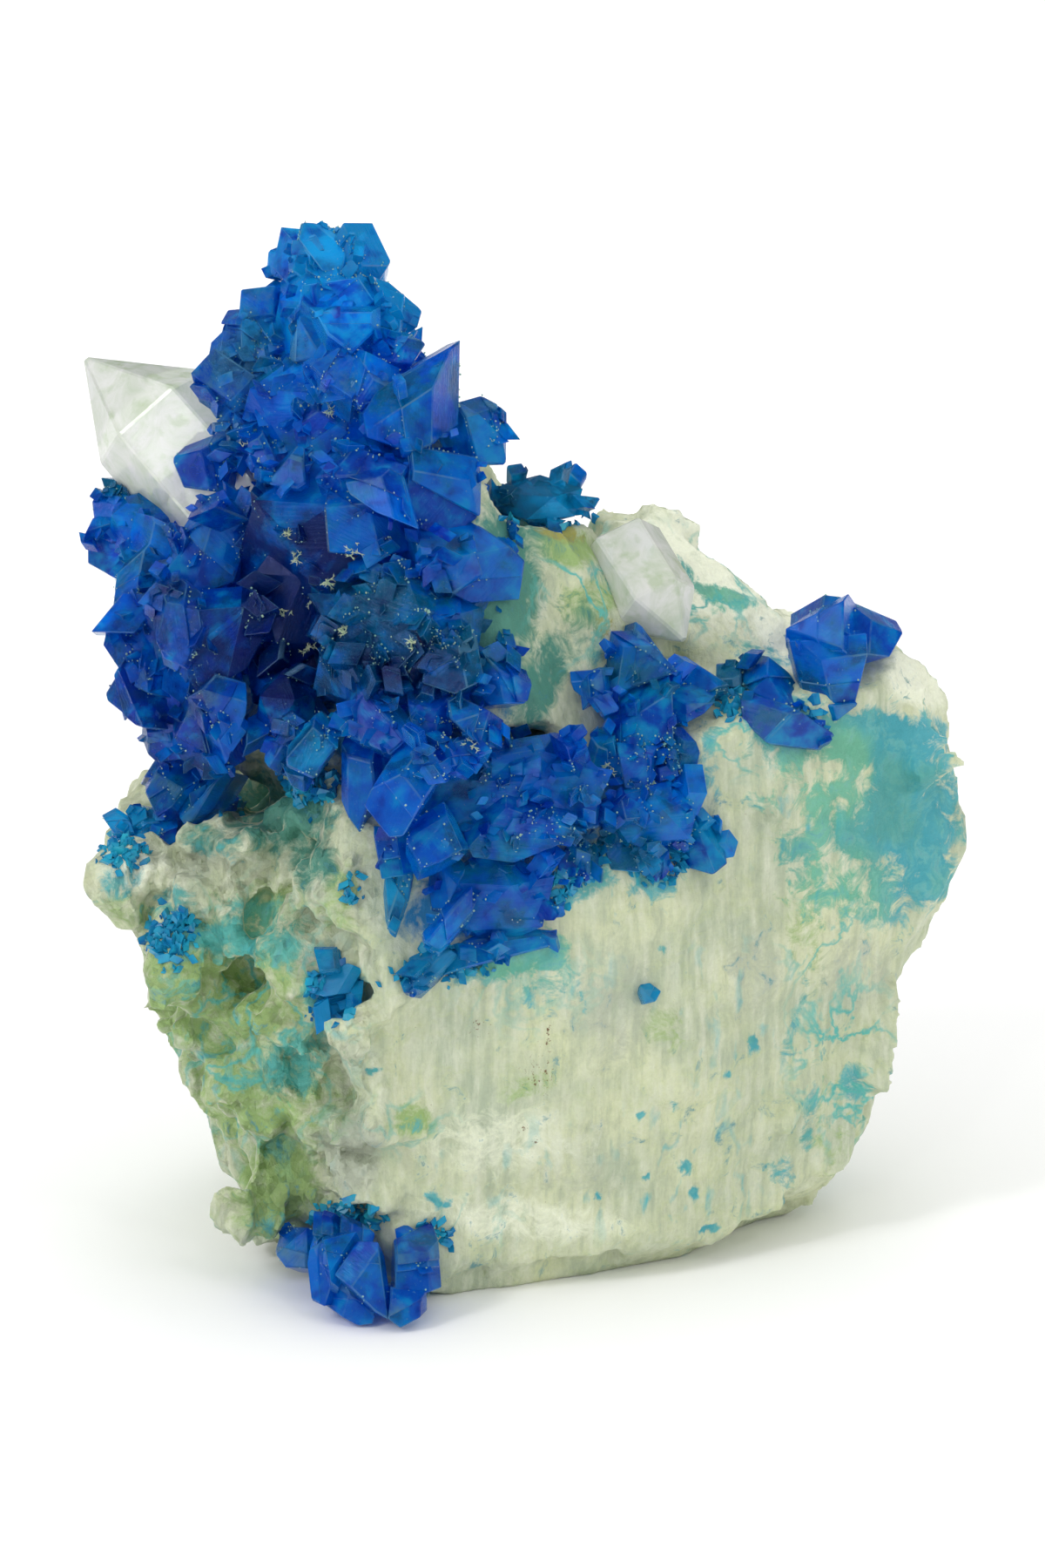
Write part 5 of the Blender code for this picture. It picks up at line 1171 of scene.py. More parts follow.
HIDDEN_APART = 11.0  # how far one kind's noise is shifted from the next one's
HIDDEN_FADE = (0.1, 0.45)  # the noise between which a hidden stain comes up
# The most that each kind shows there
HIDDEN_SHARES = {"turquoise": 0.5, "green": 0.5, "clear": 0.5, "cream": 0.4, "vein": 0.7, "fleck": 0.7,
                 "mint": 0.6}


def stained(kind, number):
    """How strongly each vertex has this kind of stain, from 0 to 1."""
    amount = spread_of(STAINS[kind], seen_x, seen_rise)
    shift = Vector((number * HIDDEN_APART, 0, 0))
    patch = np.array([noise.noise(Vector(p) / (HIDDEN_PATCH * MM) + shift) for p in points])
    return amount * facing + HIDDEN_SHARES.get(kind, 0.0) * ramp(patch, *HIDDEN_FADE) * (1 - facing)


mesh = rock.data
for number, kind in enumerate(STAINS):
    mesh.attributes.new(kind, "FLOAT", "POINT").data.foreach_set("value", stained(kind, number))
mesh.attributes.new("rough", "FLOAT", "POINT").data.foreach_set("value", how_rough(seen_x, facing)[1])
mesh.polygons.foreach_set("use_smooth", [True] * len(mesh.polygons))
mesh.set_sharp_from_angle(angle=math.radians(SHARP_FROM))
print("the rock has", sum(len(rows) for rows in STAINS.values()), "stains")

# %% [markdown]
# Two pale quartz crystals grow from the same rock. Quartz is trigonal: a six-sided prism under a
# six-faced point, with three of the point's faces larger than the others. The prism is turned into
# place by its tip and chamfered.

# %% The quartz crystals
QUARTZ_TAPER = 0.96
QUARTZ = {
    "quartz_point": {"tip": (-51.0, 13.0, 104.6), "lean": 139.0, "nod": 6.0, "spin": 32.0,
                     "radius": 8.6, "body": 16.0, "point": 11.0},
    "quartz_crystal_right": {"tip": (18.8, -9.0, 71.2), "lean": -32.0, "nod": -24.0, "spin": 44.0,
                             "radius": 5.6, "body": 9.0, "point": 5.5},
}
QUARTZ_TIP_OFFSET = 0.22  # of the radius
QUARTZ_CHAMFER = 0.22


def quartz_crystal(radius, body, point):
    """A six-sided prism that runs down -Z from its six-faced point, whose tip is at the origin."""
    bm = bmesh.new()
    foot = radius * MM
    bmesh.ops.create_cone(
        bm, cap_ends=True, segments=6, radius1=foot, radius2=foot * QUARTZ_TAPER, depth=body * MM
    )
    top = max(bm.faces, key=lambda face: face.calc_center_median().z)
    tip = bmesh.ops.poke(bm, faces=[top])["verts"][0]
    tip.co.z += point * MM
    tip.co.x += QUARTZ_TIP_OFFSET * radius * MM
    bmesh.ops.translate(bm, verts=bm.verts, vec=-tip.co)
    return chamfered(bm, QUARTZ_CHAMFER)


quartz = {}
for node, facts in QUARTZ.items():
    shape = quartz_crystal(facts["radius"], facts["body"], facts["point"])
    turn = turned(facts["lean"], facts["nod"], facts["spin"]) @ Matrix.Rotation(math.pi, 3, "X")
    quartz[node] = new_object("clear_" + node, placed(shape, seen(*facts["tip"]), turn))
    print(node, "has", len(quartz[node].data.polygons), "faces")

# %% [markdown]
# Pattern sizes below are real sizes. A noise texture's scale is how many patterns fit in a metre, so one
# over the size in metres. The finest grain of the rock, about 0.1 mm, is drawn at 0.5 mm, because
# anything finer is lost in the picture.

# %% Pattern sizes


def per(size):
    """The texture scale for a pattern of this size in millimetres."""
    return 1000.0 / size


# %% [markdown]
# Chalcanthite is copper sulfate: glassy, soft and deep blue all through. Light that goes in comes out bluer
# with every millimetre, which a volume that absorbs red and green gives. But these crystals are full of
# flaws and have a dull film, so part of the light scatters near the surface: a base colour that runs from
# royal blue to teal stands for that. Navy patches are painted shade, darker in the gaps between the lobes and
# in the cluster's depths. Chamfers and small specks are pale, where the surface has dried to a white powder.
# Fine lines run along each crystal's length.

# %% Chalcanthite
SHOWS_FROM = 1.02  # a stain shows where its share and the noise, added up, pass this
ABSORBS = 45.0  # how densely the volume takes up light, to a metre


def broken_up(tree, kind, noise_node, soft, most=1.0):
    """The share of a kind that is stored on the mesh, its edge broken up by a noise, as a socket pair."""
    number = add_node(tree, "ShaderNodeAttribute", attribute_name=kind)
    both = add_node(tree, "ShaderNodeMath", {0: (number, "Fac"), 1: (noise_node, 0)}, operation="ADD")
    return add_node(tree, "ShaderNodeMapRange", {
        "Value": (both, 0), "From Min": SHOWS_FROM - soft, "From Max": SHOWS_FROM + soft, "To Max": most}), 0


def contrast(tree, noise_node, low=0.3, high=0.7):
    """The noise drawn out so that it runs from 0 to 1."""
    return add_node(tree, "ShaderNodeMapRange", {
        "Value": (noise_node, "Fac"), "From Min": low, "From Max": high})


def laid_over(tree, under, share, code):
    """A colour laid over another one by a share."""
    return add_node(tree, "ShaderNodeMix", {0: share, 6: (under, 2), 7: hex_colour(code)}, data_type="RGBA")


def over_patches(tree, under, pattern, first, full, most, code):
    """A colour laid over another one where a pattern is past a level, up to a share."""
    share = add_node(tree, "ShaderNodeMapRange", {
        "Value": (pattern, "Fac"), "From Min": first, "From Max": full, "To Max": most})
    return laid_over(tree, under, (share, 0), code)


blue, tree, output = new_material("chalcanthite crystal")
place = add_node(tree, "ShaderNodeTexCoord")
grain = add_node(tree, "ShaderNodeUVMap", uv_map="grain")
tone = add_node(tree, "ShaderNodeAttribute", attribute_name="tone")
edge = add_node(tree, "ShaderNodeAttribute", attribute_name="edge")
cloud, flaw, dust, powder = (
    add_node(tree, "ShaderNodeTexNoise", {
        "Vector": (place, "Object"), "Scale": per(size), "Detail": detail, "Roughness": rough,
        "Distortion": distortion})
    for size, detail, rough, distortion in (
        (5.0, 5.0, 0.6, 0.0), (2.4, 4.0, 0.5, 0.3), (0.9, 6.0, 0.75, 0.0), (0.35, 3.0, 0.7, 0.0)))
colour = add_node(tree, "ShaderNodeMix", {
    0: (tone, "Fac"), 6: hex_colour("0046C8"), 7: hex_colour("0088FF")}, data_type="RGBA")
for pattern, first, full, most, code in (
        (cloud, 0.48, 0.62, 0.8, "0086BC"), (flaw, 0.46, 0.3, 0.6, "0020A0"),
        (flaw, 0.5, 0.68, 0.8, "00A0FF")):
    colour = over_patches(tree, colour, pattern, first, full, most, code)
cloudy, flawed, dusty = (contrast(tree, pattern) for pattern in (cloud, flaw, dust))
for kind, pattern, most, code in (
        # azure: a paler blue with a painted glow of light through thin crystals
        ("teal", cloudy, 0.85, "007898"), ("azure_and_painted_glow", flawed, 0.85, "10B4F0"), ("dusty", dusty, 0.6, "58A0C4"),
        # navy: painted shade in the gaps and depths of the cluster
        ("navy_painted_shade", cloudy, 0.9, "000C64")):
    colour = laid_over(tree, colour, broken_up(tree, kind, pattern, 0.3, most), code)
specks = add_node(tree, "ShaderNodeMapRange", {
    "Value": (powder, "Fac"), "From Min": 0.66, "From Max": 0.72, "To Max": 0.75})
worn = add_node(tree, "ShaderNodeMapRange", {
    "Value": (cloud, "Fac"), "From Min": 0.42, "From Max": 0.66, "To Min": 0.0, "To Max": 0.6})
edge_worn = add_node(tree, "ShaderNodeMath", {0: (edge, "Fac"), 1: (worn, 0)}, operation="MULTIPLY")
pale = add_node(tree, "ShaderNodeMath", {0: (edge_worn, 0), 1: (specks, 0)}, operation="MAXIMUM")
colour = laid_over(tree, colour, (pale, 0), "7CBCD8")
rough = add_node(tree, "ShaderNodeMapRange", {
    "Value": (cloud, "Fac"), "From Min": 0.35, "From Max": 0.65, "To Min": 0.05, "To Max": 0.25})
# The UV map is in millimetres: three lines to a millimetre, each about three millimetres long.
stretch = add_node(tree, "ShaderNodeMapping", {"Vector": (grain, 0), "Scale": (0.35, 3.0, 1.0)})
lines = add_node(tree, "ShaderNodeTexNoise", {"Vector": (stretch, 0), "Scale": 1.0, "Detail": 4.0})
pits = add_node(tree, "ShaderNodeBump", {
    "Height": (dust, "Fac"), "Strength": 0.4, "Distance": 0.22 * MM})
bump = add_node(tree, "ShaderNodeBump", {
    "Height": (lines, "Fac"), "Normal": (pits, 0), "Strength": 0.6, "Distance": 0.12 * MM})
shader = add_node(tree, "ShaderNodeBsdfPrincipled", {
    "Base Color": (colour, 2), "Roughness": (rough, 0), "IOR": 1.53, "Transmission Weight": 0.6,
    "Specular IOR Level": 0.42, "Specular Tint": hex_colour("BCC2FF"), "Normal": (bump, 0)})
body = add_node(tree, "ShaderNodeVolumeAbsorption", {"Color": hex_colour("3FB0FF"), "Density": ABSORBS})
tree.links.new(shader.outputs[0], output.inputs["Surface"])
tree.links.new(body.outputs[0], output.inputs["Volume"])
for node, cluster in clusters.items():
    cluster.data.materials.clear()
    cluster.data.materials.append(blue)
    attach(cluster, "root")
    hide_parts(node)
print("chalcanthite is on", len(clusters), "pieces")

# %% [markdown]
# Quartz rock is milky silica: pale grey where it is clear, cream where it is crushed, with yellow-green
# and turquoise copper salts soaked into it. Each stain's number on the vertices is added to fine noise and
# cut at a threshold, so its edge is ragged like a real seep. The clear patches are glossier than the rest.

# %% Quartz rock
CHIP_SIZES = (3.0, 1.2)
CHIP_BEND = 0.5


def chips(tree, place, size):
    """The height of a surface broken into small planes: one for each cell, with a tilt of its own."""
    cell = add_node(tree, "ShaderNodeTexVoronoi", {"Vector": (place, 0), "Scale": per(size)})
    away, tilt = (
        add_node(tree, "ShaderNodeVectorMath", {0: whole, 1: part}, operation="SUBTRACT")
        for whole, part in (((place, 0), (cell, "Position")), ((cell, "Color"), (0.5, 0.5, 0.5))))
    return add_node(tree, "ShaderNodeVectorMath", {0: (away, 0), 1: (tilt, 0)}, operation="DOT_PRODUCT")


stone, tree, output = new_material("quartz rock with copper stains")
place = add_node(tree, "ShaderNodeTexCoord")
patch, ragged, fine, ridge = (
    add_node(tree, "ShaderNodeTexNoise", {
        "Vector": (place, "Object"), "Scale": per(size), "Detail": detail, "Roughness": rough,
        "Distortion": distortion})
    for size, detail, rough, distortion in (
        (11.0, 5.0, 0.6, 0.0), (3.2, 8.0, 0.72, 0.6), (0.5, 5.0, 0.7, 0.0), (8.0, 5.0, 0.55, 0.4)))
upright = add_node(tree, "ShaderNodeMapping",
                   {"Vector": (place, "Object"), "Scale": (1.0, 1.0, 0.14)})
streaks = add_node(tree, "ShaderNodeTexNoise",
                   {"Vector": (upright, 0), "Scale": per(1.2), "Detail": 5.0, "Roughness": 0.6})
patch_share = add_node(tree, "ShaderNodeMapRange", {
    "Value": (patch, "Fac"), "From Min": 0.38, "From Max": 0.62})
colour = add_node(tree, "ShaderNodeMix", {
    0: (patch_share, 0), 6: hex_colour("B4C0A4"), 7: hex_colour("D2D8B2")}, data_type="RGBA")
colour = over_patches(tree, colour, streaks, 0.45, 0.7, 0.7, "DEE2CC")
colour = over_patches(tree, colour, streaks, 0.46, 0.3, 0.6, "A6B29A")
colour = over_patches(tree, colour, ragged, 0.5, 0.68, 0.6, "BFCB8C")
edges = contrast(tree, ragged)
clear_share = broken_up(tree, "clear", edges, 0.3)
colour = laid_over(tree, colour, clear_share, "B4BCA8")
for kind, soft, most, code in (
        ("cream", 0.3, 1.0, "F2F6DE"), ("green", 0.25, 0.9, "94B46A"), ("teal", 0.25, 1.0, "4E8E7C"),
        ("ochre", 0.15, 0.8, "A39A48")):
    colour = laid_over(tree, colour, broken_up(tree, kind, edges, soft, most), code)
blue_green = add_node(tree, "ShaderNodeMix", {
    0: broken_up(tree, "mint", contrast(tree, patch), 0.35, 0.85), 6: hex_colour("1CA0B0"),
    7: hex_colour("60B48C")}, data_type="RGBA")
blue_green = over_patches(tree, blue_green, ragged, 0.5, 0.68, 0.6, "8CD0BC")
blue_green = over_patches(tree, blue_green, patch, 0.5, 0.4, 0.5, "4CA08C")
colour = add_node(tree, "ShaderNodeMix", {
    0: broken_up(tree, "turquoise", edges, 0.16, 0.92), 6: (colour, 2), 7: (blue_green, 2)}, data_type="RGBA")
from_middle = add_node(tree, "ShaderNodeMath", {0: (ridge, "Fac"), 1: 0.5}, operation="SUBTRACT")
apart = add_node(tree, "ShaderNodeMath", {0: (from_middle, 0)}, operation="ABSOLUTE")
line = add_node(tree, "ShaderNodeMapRange", {
    "Value": (apart, 0), "From Min": 0.004, "From Max": 0.035, "To Min": 1.0, "To Max": 0.0})
vein = add_node(tree, "ShaderNodeAttribute", attribute_name="vein")
vein_share = add_node(tree, "ShaderNodeMath", {0: (line, 0), 1: (vein, "Fac")}, operation="MULTIPLY")
colour = laid_over(tree, colour, (vein_share, 0), "58B8AE")
drop = add_node(tree, "ShaderNodeMapping", {"Vector": (place, "Object"), "Scale": (1.0, 1.0, 0.5)})
drops = add_node(tree, "ShaderNodeTexNoise", {
    "Vector": (drop, 0), "Scale": per(2.4), "Detail": 3.0, "Roughness": 0.5, "Distortion": 0.5})
spotted = add_node(tree, "ShaderNodeMapRange", {"Value": (drops, "Fac"), "From Min": 0.6, "From Max": 0.72})
fleck = add_node(tree, "ShaderNodeAttribute", attribute_name="fleck")
fleck_share = add_node(tree, "ShaderNodeMath", {0: (spotted, 0), 1: (fleck, "Fac")}, operation="MULTIPLY")
colour = laid_over(tree, colour, (fleck_share, 0), "3CB0B8")
colour = laid_over(tree, colour, broken_up(tree, "brown", contrast(tree, fine), 0.1), "6E5230")
colour = laid_over(tree, colour, broken_up(tree, "blue", edges, 0.3), "1878A8")
grey = add_node(tree, "ShaderNodeMapRange", {
    "Value": (fine, "Fac"), "From Min": 0.3, "From Max": 0.7, "To Min": 0.92, "To Max": 1.05})
colour = add_node(tree, "ShaderNodeMix", {
    0: 1.0, 6: (colour, 2), 7: (grey, 0)}, data_type="RGBA", blend_type="MULTIPLY")
rough = add_node(tree, "ShaderNodeMapRange", {"Value": clear_share, "To Min": 0.52, "To Max": 0.28})
roughness = add_node(tree, "ShaderNodeAttribute", attribute_name="rough")
steep = add_node(tree, "ShaderNodeMapRange", {"Value": (roughness, "Fac"), "To Min": 0.12, "To Max": 0.8})
bent = add_node(tree, "ShaderNodeVectorMath", {
    0: (ragged, "Color"), 1: (CHIP_BEND * MM,) * 3, 2: (place, "Object")}, operation="MULTIPLY_ADD")
relief = {}  # a chip's height comes in metres already, so its distance is 1
for size in CHIP_SIZES:
    bump = add_node(tree, "ShaderNodeBump", {
        "Height": (chips(tree, bent, size), "Value"), "Strength": (steep, 0), "Distance": 1.0, **relief})
    relief = {"Normal": (bump, 0)}
for pattern, strength, depth in ((ragged, 0.6, 0.6), (streaks, 0.5, 0.4), (fine, 0.6, 0.18)):
    bump = add_node(tree, "ShaderNodeBump", {
        "Height": (pattern, "Fac"), "Normal": (bump, 0), "Strength": strength, "Distance": depth * MM})
shader = add_node(tree, "ShaderNodeBsdfPrincipled", {
    "Base Color": (colour, 2), "Roughness": (rough, 0), "Normal": (bump, 0),
    "Subsurface Weight": 0.25, "Subsurface Radius": (1.0, 0.95, 0.8), "Subsurface Scale": 1.2 * MM})
tree.links.new(shader.outputs[0], output.inputs["Surface"])
rock.data.materials.clear()
rock.data.materials.append(stone)
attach(rock, "root")
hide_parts("matrix_rock")
print("the rock's material has", len(tree.nodes), "nodes")

# %% [markdown]
# The two quartz crystals are clearer than the rock, but milky inside with veils and small cracks, and
# their skin is worn. A good part of the light passes, and the rest meets a mottled white.

# %% Quartz crystal
clear, tree, output = new_material("milky quartz crystal")
place = add_node(tree, "ShaderNodeTexCoord")
veil = add_node(tree, "ShaderNodeTexNoise", {
    "Vector": (place, "Object"), "Scale": per(4.0), "Detail": 6.0, "Roughness": 0.65, "Distortion": 1.0})
milky = add_node(tree, "ShaderNodeMapRange", {"Value": (veil, "Fac"), "From Min": 0.35, "From Max": 0.65})
colour = add_node(tree, "ShaderNodeMix", {
    0: (milky, 0), 6: hex_colour("E0EAD6"), 7: hex_colour("FFFFFD")}, data_type="RGBA")
tinge = add_node(tree, "ShaderNodeTexNoise", {"Vector": (place, "Object"), "Scale": per(2.5), "Detail": 6.0})
colour = over_patches(tree, colour, tinge, 0.56, 0.68, 0.6, "C4D8B0")
rough = add_node(tree, "ShaderNodeMapRange", {"Value": (veil, "Fac"), "To Min": 0.08, "To Max": 0.3})
bump = add_node(tree, "ShaderNodeBump", {"Height": (veil, "Fac"), "Strength": 0.3, "Distance": 0.2 * MM})
shader = add_node(tree, "ShaderNodeBsdfPrincipled", {
    "Base Color": (colour, 2), "Roughness": (rough, 0), "IOR": 1.544, "Transmission Weight": 0.42,
    "Normal": (bump, 0)})
tree.links.new(shader.outputs[0], output.inputs["Surface"])
for node, crystal in quartz.items():
    crystal.data.materials.append(clear)
    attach(crystal, "root")
    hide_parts(node)

# %% [markdown]
# Where the blue clusters meet the rock, tiny crystals of 0.6 to 2 mm make a crust, teal and a little glossy.
# There are far too many to place one by one, so Geometry Nodes strews them: points are scattered over the
# rock as thickly as a number on its vertices says, each point gets one of a few crystals, turned out from the
# surface and spun at random, and the whole becomes one plain mesh. Two helpers start and end such a tree, and
# a third makes a material whose colour runs between two in patches.

# %% The crust of tiny crystals
# As (x, rise, half width, half height, lean, strength)
CRUSTS = (
    (3, 86.5, 5.5, 2, 0, 1), (-45.5, 47.5, 3, 2.6, 0, 1), (-40, 37.5, 3, 4, 0, 1),
    (-38, 54.5, 6, 2.5, -20, 1), (-22, 31.5, 3, 4.5, 0, 1), (-20, 5, 5, 2.2, 0, 1),
    (-10, 3.5, 2.5, 2, 0, 0.8), (-24, 55, 4, 3, 0, 1), (-9, 34.5, 7, 2.5, 15, 1),
    (4, 43.5, 6, 2.5, 20, 1), (16, 46, 5, 2.5, 20, 0.9), (24, 65, 3, 3, 0, 0.9),
    (32, 62.5, 4, 2, 0, 0.8), (-19.5, 43, 1.8, 2.5, 0, 0.8),
)
GRAIN_KINDS = 4
GRAIN = (0.75, 0.5, 1.0)  # a grain's width, thickness and length, as shares of its size
GRAIN_TILT = 0.6
CRUST_DENSITY = 3.6e6  # grains to a square metre
CRUST = {"Density": CRUST_DENSITY, "Smallest": 0.6, "Largest": 2.1, "Seed": 4}
CRUST_POWER = 2  # the crust thins out faster than a stain
CRUST_RISE = (1.2, 2.5)  # there is no crust under the first height and it is full from the second on
crusted = spread_of(CRUSTS, seen_x, seen_rise) ** CRUST_POWER * facing * ramp(points[:, 2] / MM, *CRUST_RISE)
rock.data.attributes.new("crust", "FLOAT", "POINT").data.foreach_set("value", crusted)


def new_tree(name, inputs):
    """An empty Geometry Nodes tree, its inputs' identifiers by their names, and the node that gives them."""
    tree = bpy.data.node_groups.new(name, "GeometryNodeTree")
    tree.interface.new_socket(name="Geometry", in_out="OUTPUT", socket_type="NodeSocketGeometry")
    sockets = {}
    for label, kind in {"Geometry": "Geometry", "Material": "Material", **inputs}.items():
        socket = tree.interface.new_socket(name=label, in_out="INPUT", socket_type="NodeSocket" + kind)
        sockets[label] = socket.identifier
    return tree, sockets, add_node(tree, "NodeGroupInput")


def end_tree(tree, given, instances):
    """Makes the instances real, gives them the material and ends the tree."""
    plain = add_node(tree, "GeometryNodeRealizeInstances", {"Geometry": (instances, 0)})
    painted = add_node(tree, "GeometryNodeSetMaterial", {
        "Geometry": (plain, 0), "Material": (given, "Material")})
    add_node(tree, "NodeGroupOutput", {"Geometry": (painted, 0)})


def strewing_tree(name):
    """A tree that strews the objects of a collection over a mesh, as thickly as its number "crust" says."""
    tree, sockets, given = new_tree(name, {
        "Grains": "Collection", "Density": "Float", "Smallest": "Float", "Largest": "Float", "Seed": "Int"})
    number = add_node(tree, "GeometryNodeInputNamedAttribute", {"Name": "crust"}, data_type="FLOAT")
    density = add_node(tree, "ShaderNodeMath", {0: (number, 0), 1: (given, "Density")}, operation="MULTIPLY")
    points = add_node(tree, "GeometryNodeDistributePointsOnFaces", {
        "Mesh": (given, "Geometry"), "Density": (density, 0), "Seed": (given, "Seed")})
    grains = add_node(tree, "GeometryNodeCollectionInfo", {
        "Collection": (given, "Grains"), "Separate Children": True})
    spin = add_node(tree, "FunctionNodeRandomValue", {
        0: (-GRAIN_TILT, -GRAIN_TILT, 0.0), 1: (GRAIN_TILT, GRAIN_TILT, math.tau), "Seed": (given, "Seed")},
        data_type="FLOAT_VECTOR")
    turn = add_node(tree, "FunctionNodeRotateRotation", {
        "Rotation": (points, "Rotation"), "Rotate By": (spin, 0)}, rotation_space="LOCAL")
    size = add_node(tree, "FunctionNodeRandomValue", {
        2: (given, "Smallest"), 3: (given, "Largest"), "Seed": (given, "Seed")}, data_type="FLOAT")
    end_tree(tree, given, add_node(tree, "GeometryNodeInstanceOnPoints", {
        "Points": (points, "Points"), "Instance": (grains, 0), "Pick Instance": True,
        "Rotation": (turn, 0), "Scale": (size, 1)}))
    return tree, sockets


def strewn_over(host, name, tree, sockets, values):
    """A plain object made by the tree from a copy of the host's mesh."""
    made = bpy.data.objects.new(name, host.data.copy())
    bpy.context.scene.collection.objects.link(made)
    strew = made.modifiers.new("strew", "NODES")
    strew.node_group = tree
    for label, value in values.items():
        strew[sockets[label]] = value
    made_plain(made)
    return made


def mottled(name, size, first, second, finish):
    """A material whose colour runs between two in patches of this size."""
    made, tree, output = new_material(name)
    place = add_node(tree, "ShaderNodeTexCoord")
    mottle = add_node(tree, "ShaderNodeTexNoise", {
        "Vector": (place, "Object"), "Scale": per(size), "Detail": 3.0})
    colour = add_node(tree, "ShaderNodeMix", {
        0: (contrast(tree, mottle), 0), 6: hex_colour(first), 7: hex_colour(second)}, data_type="RGBA")
    shader = add_node(tree, "ShaderNodeBsdfPrincipled", {"Base Color": (colour, 2), **finish})
    tree.links.new(shader.outputs[0], output.inputs["Surface"])
    return made


chance = random.Random(8)
grain_shapes = bpy.data.collections.new("grains")
for number in range(GRAIN_KINDS):
    bm = small_crystal(chance, *GRAIN)
    grain_mesh = bpy.data.meshes.new("grain")
    bm.to_mesh(grain_mesh)
    bm.free()
    grain_shapes.objects.link(bpy.data.objects.new(f"grain_{number}", grain_mesh))
tiny = mottled("teal druse crystal", 2.5, "0A66A8", "28A8C0", {
    "Roughness": 0.22, "IOR": 1.53, "Specular IOR Level": 0.4})
strewing, sockets = strewing_tree("strewn grains")
crust = strewn_over(rock, "teal_druse", strewing, sockets, CRUST | {"Grains": grain_shapes, "Material": tiny})
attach(crust, "root")
for shape in list(grain_shapes.objects):
    bpy.data.objects.remove(shape)
bpy.data.collections.remove(grain_shapes)
print("the crust has", triangles(crust.data), "triangles")

# %% [markdown]
# Pale green dust, quite dull, has gathered in the joints between the blue crystals. A joint is an edge where
# two faces form a groove, and Geometry Nodes can find those by their signed angle. The tree turns the grooves
# into curves, puts a crumb at every so many tenths of a millimetre, moves each a little, and keeps those that
# lie in the patches of a noise.

# %% Dust in the joints
DUST = {"Spacing": 0.5 * MM, "Smallest": 0.05 * MM, "Largest": 0.17 * MM, "Astray": 0.25 * MM, "Seed": 2}
GROOVE = -0.5  # a signed angle in radians, so this and sharper grooves hold dust
DUST_PATCH = 4.0
DUST_FROM = 0.53  # the noise above which a patch is dusty


def dusting_tree(name):
    """A tree that puts crumbs along the grooves of a mesh."""
    tree, sockets, given = new_tree(name, {
        "Spacing": "Float", "Smallest": "Float", "Largest": "Float", "Astray": "Float", "Seed": "Int"})
    angle = add_node(tree, "GeometryNodeInputMeshEdgeAngle")
    groove = add_node(tree, "FunctionNodeCompare", {0: (angle, 1), 1: GROOVE},
                      data_type="FLOAT", operation="LESS_THAN")
    grooves = add_node(tree, "GeometryNodeMeshToCurve", {
        "Mesh": (given, "Geometry"), "Selection": (groove, 0)})
    points = add_node(tree, "GeometryNodeResampleCurve", {
        "Curve": (grooves, 0), "Length": (given, "Spacing")}, mode="LENGTH")
    patch = add_node(tree, "ShaderNodeTexNoise", {"Scale": per(DUST_PATCH), "Detail": 4.0})
    dusty = add_node(tree, "FunctionNodeCompare", {0: (patch, 0), 1: DUST_FROM},
                     data_type="FLOAT", operation="GREATER_THAN")
    back = add_node(tree, "ShaderNodeMath", {0: (given, "Astray"), 1: -1.0}, operation="MULTIPLY")
    aside = add_node(tree, "FunctionNodeRandomValue", {
        0: (back, 0), 1: (given, "Astray"), "Seed": (given, "Seed")}, data_type="FLOAT_VECTOR")
    moved = add_node(tree, "GeometryNodeSetPosition", {"Geometry": (points, 0), "Offset": (aside, 0)})
    crumb = add_node(tree, "GeometryNodeMeshUVSphere", {"Segments": 4, "Rings": 2, "Radius": 1.0})
    size = add_node(tree, "FunctionNodeRandomValue", {
        0: (given, "Smallest"), 1: (given, "Largest"), "Seed": (given, "Seed")}, data_type="FLOAT_VECTOR")
    end_tree(tree, given, add_node(tree, "GeometryNodeInstanceOnPoints", {
        "Points": (moved, 0), "Selection": (dusty, 0), "Instance": (crumb, 0), "Scale": (size, 0)}))
    return tree, sockets


pale_dust = mottled("pale green dust", 1.5, "4E9CA8", "AFC8A6", {"Roughness": 0.8})
dusting, sockets = dusting_tree("dust along grooves")
for node in ("chalcanthite_main_cluster", "chalcanthite_shoulder_cluster", "chalcanthite_foot_cluster"):
    dust = strewn_over(clusters[node], node.replace("chalcanthite_", "dust_on_"), dusting, sockets,
                       DUST | {"Material": pale_dust})
    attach(dust, "root")
    print(dust.name, "has", triangles(dust.data), "triangles")

# %% [markdown]
# Here and there a cream tuft of dried salt, chalky and dull, sits on the blue crystals, branched like moss. A
# tuft is grown from its root: each twig is a thin three-sided spike, which carries two or three shorter ones
# near its end.

# %% Tufts of dried salt
TUFTS = ((-22.5, 77.8), (-26.8, 83.0), (-27.4, 74.3), (-20.3, 72.4), (-24.3, 75.9), (-25.8, 80.7),
         (-24.2, 70.8), (-19.0, 81.5), (-6.0, 59.6), (9.5, 57.0), (-31.5, 93.5), (-22.0, 97.5),
         (-12.5, 70.6))
TWIG = (0.85, 0.10)  # length and half thickness of a first twig
TWIG_LEVELS = 3
TWIG_FORK = (0.45, 0.8)  # where a twig's smaller ones start, as a share of its length
SMALLER_TWIG = (0.75, 0.8)  # their length and thickness, as shares of its own
TUFT_TWIGS = 5
TUFT_SPREAD = 0.5
TUFT_SUNK = 0.1


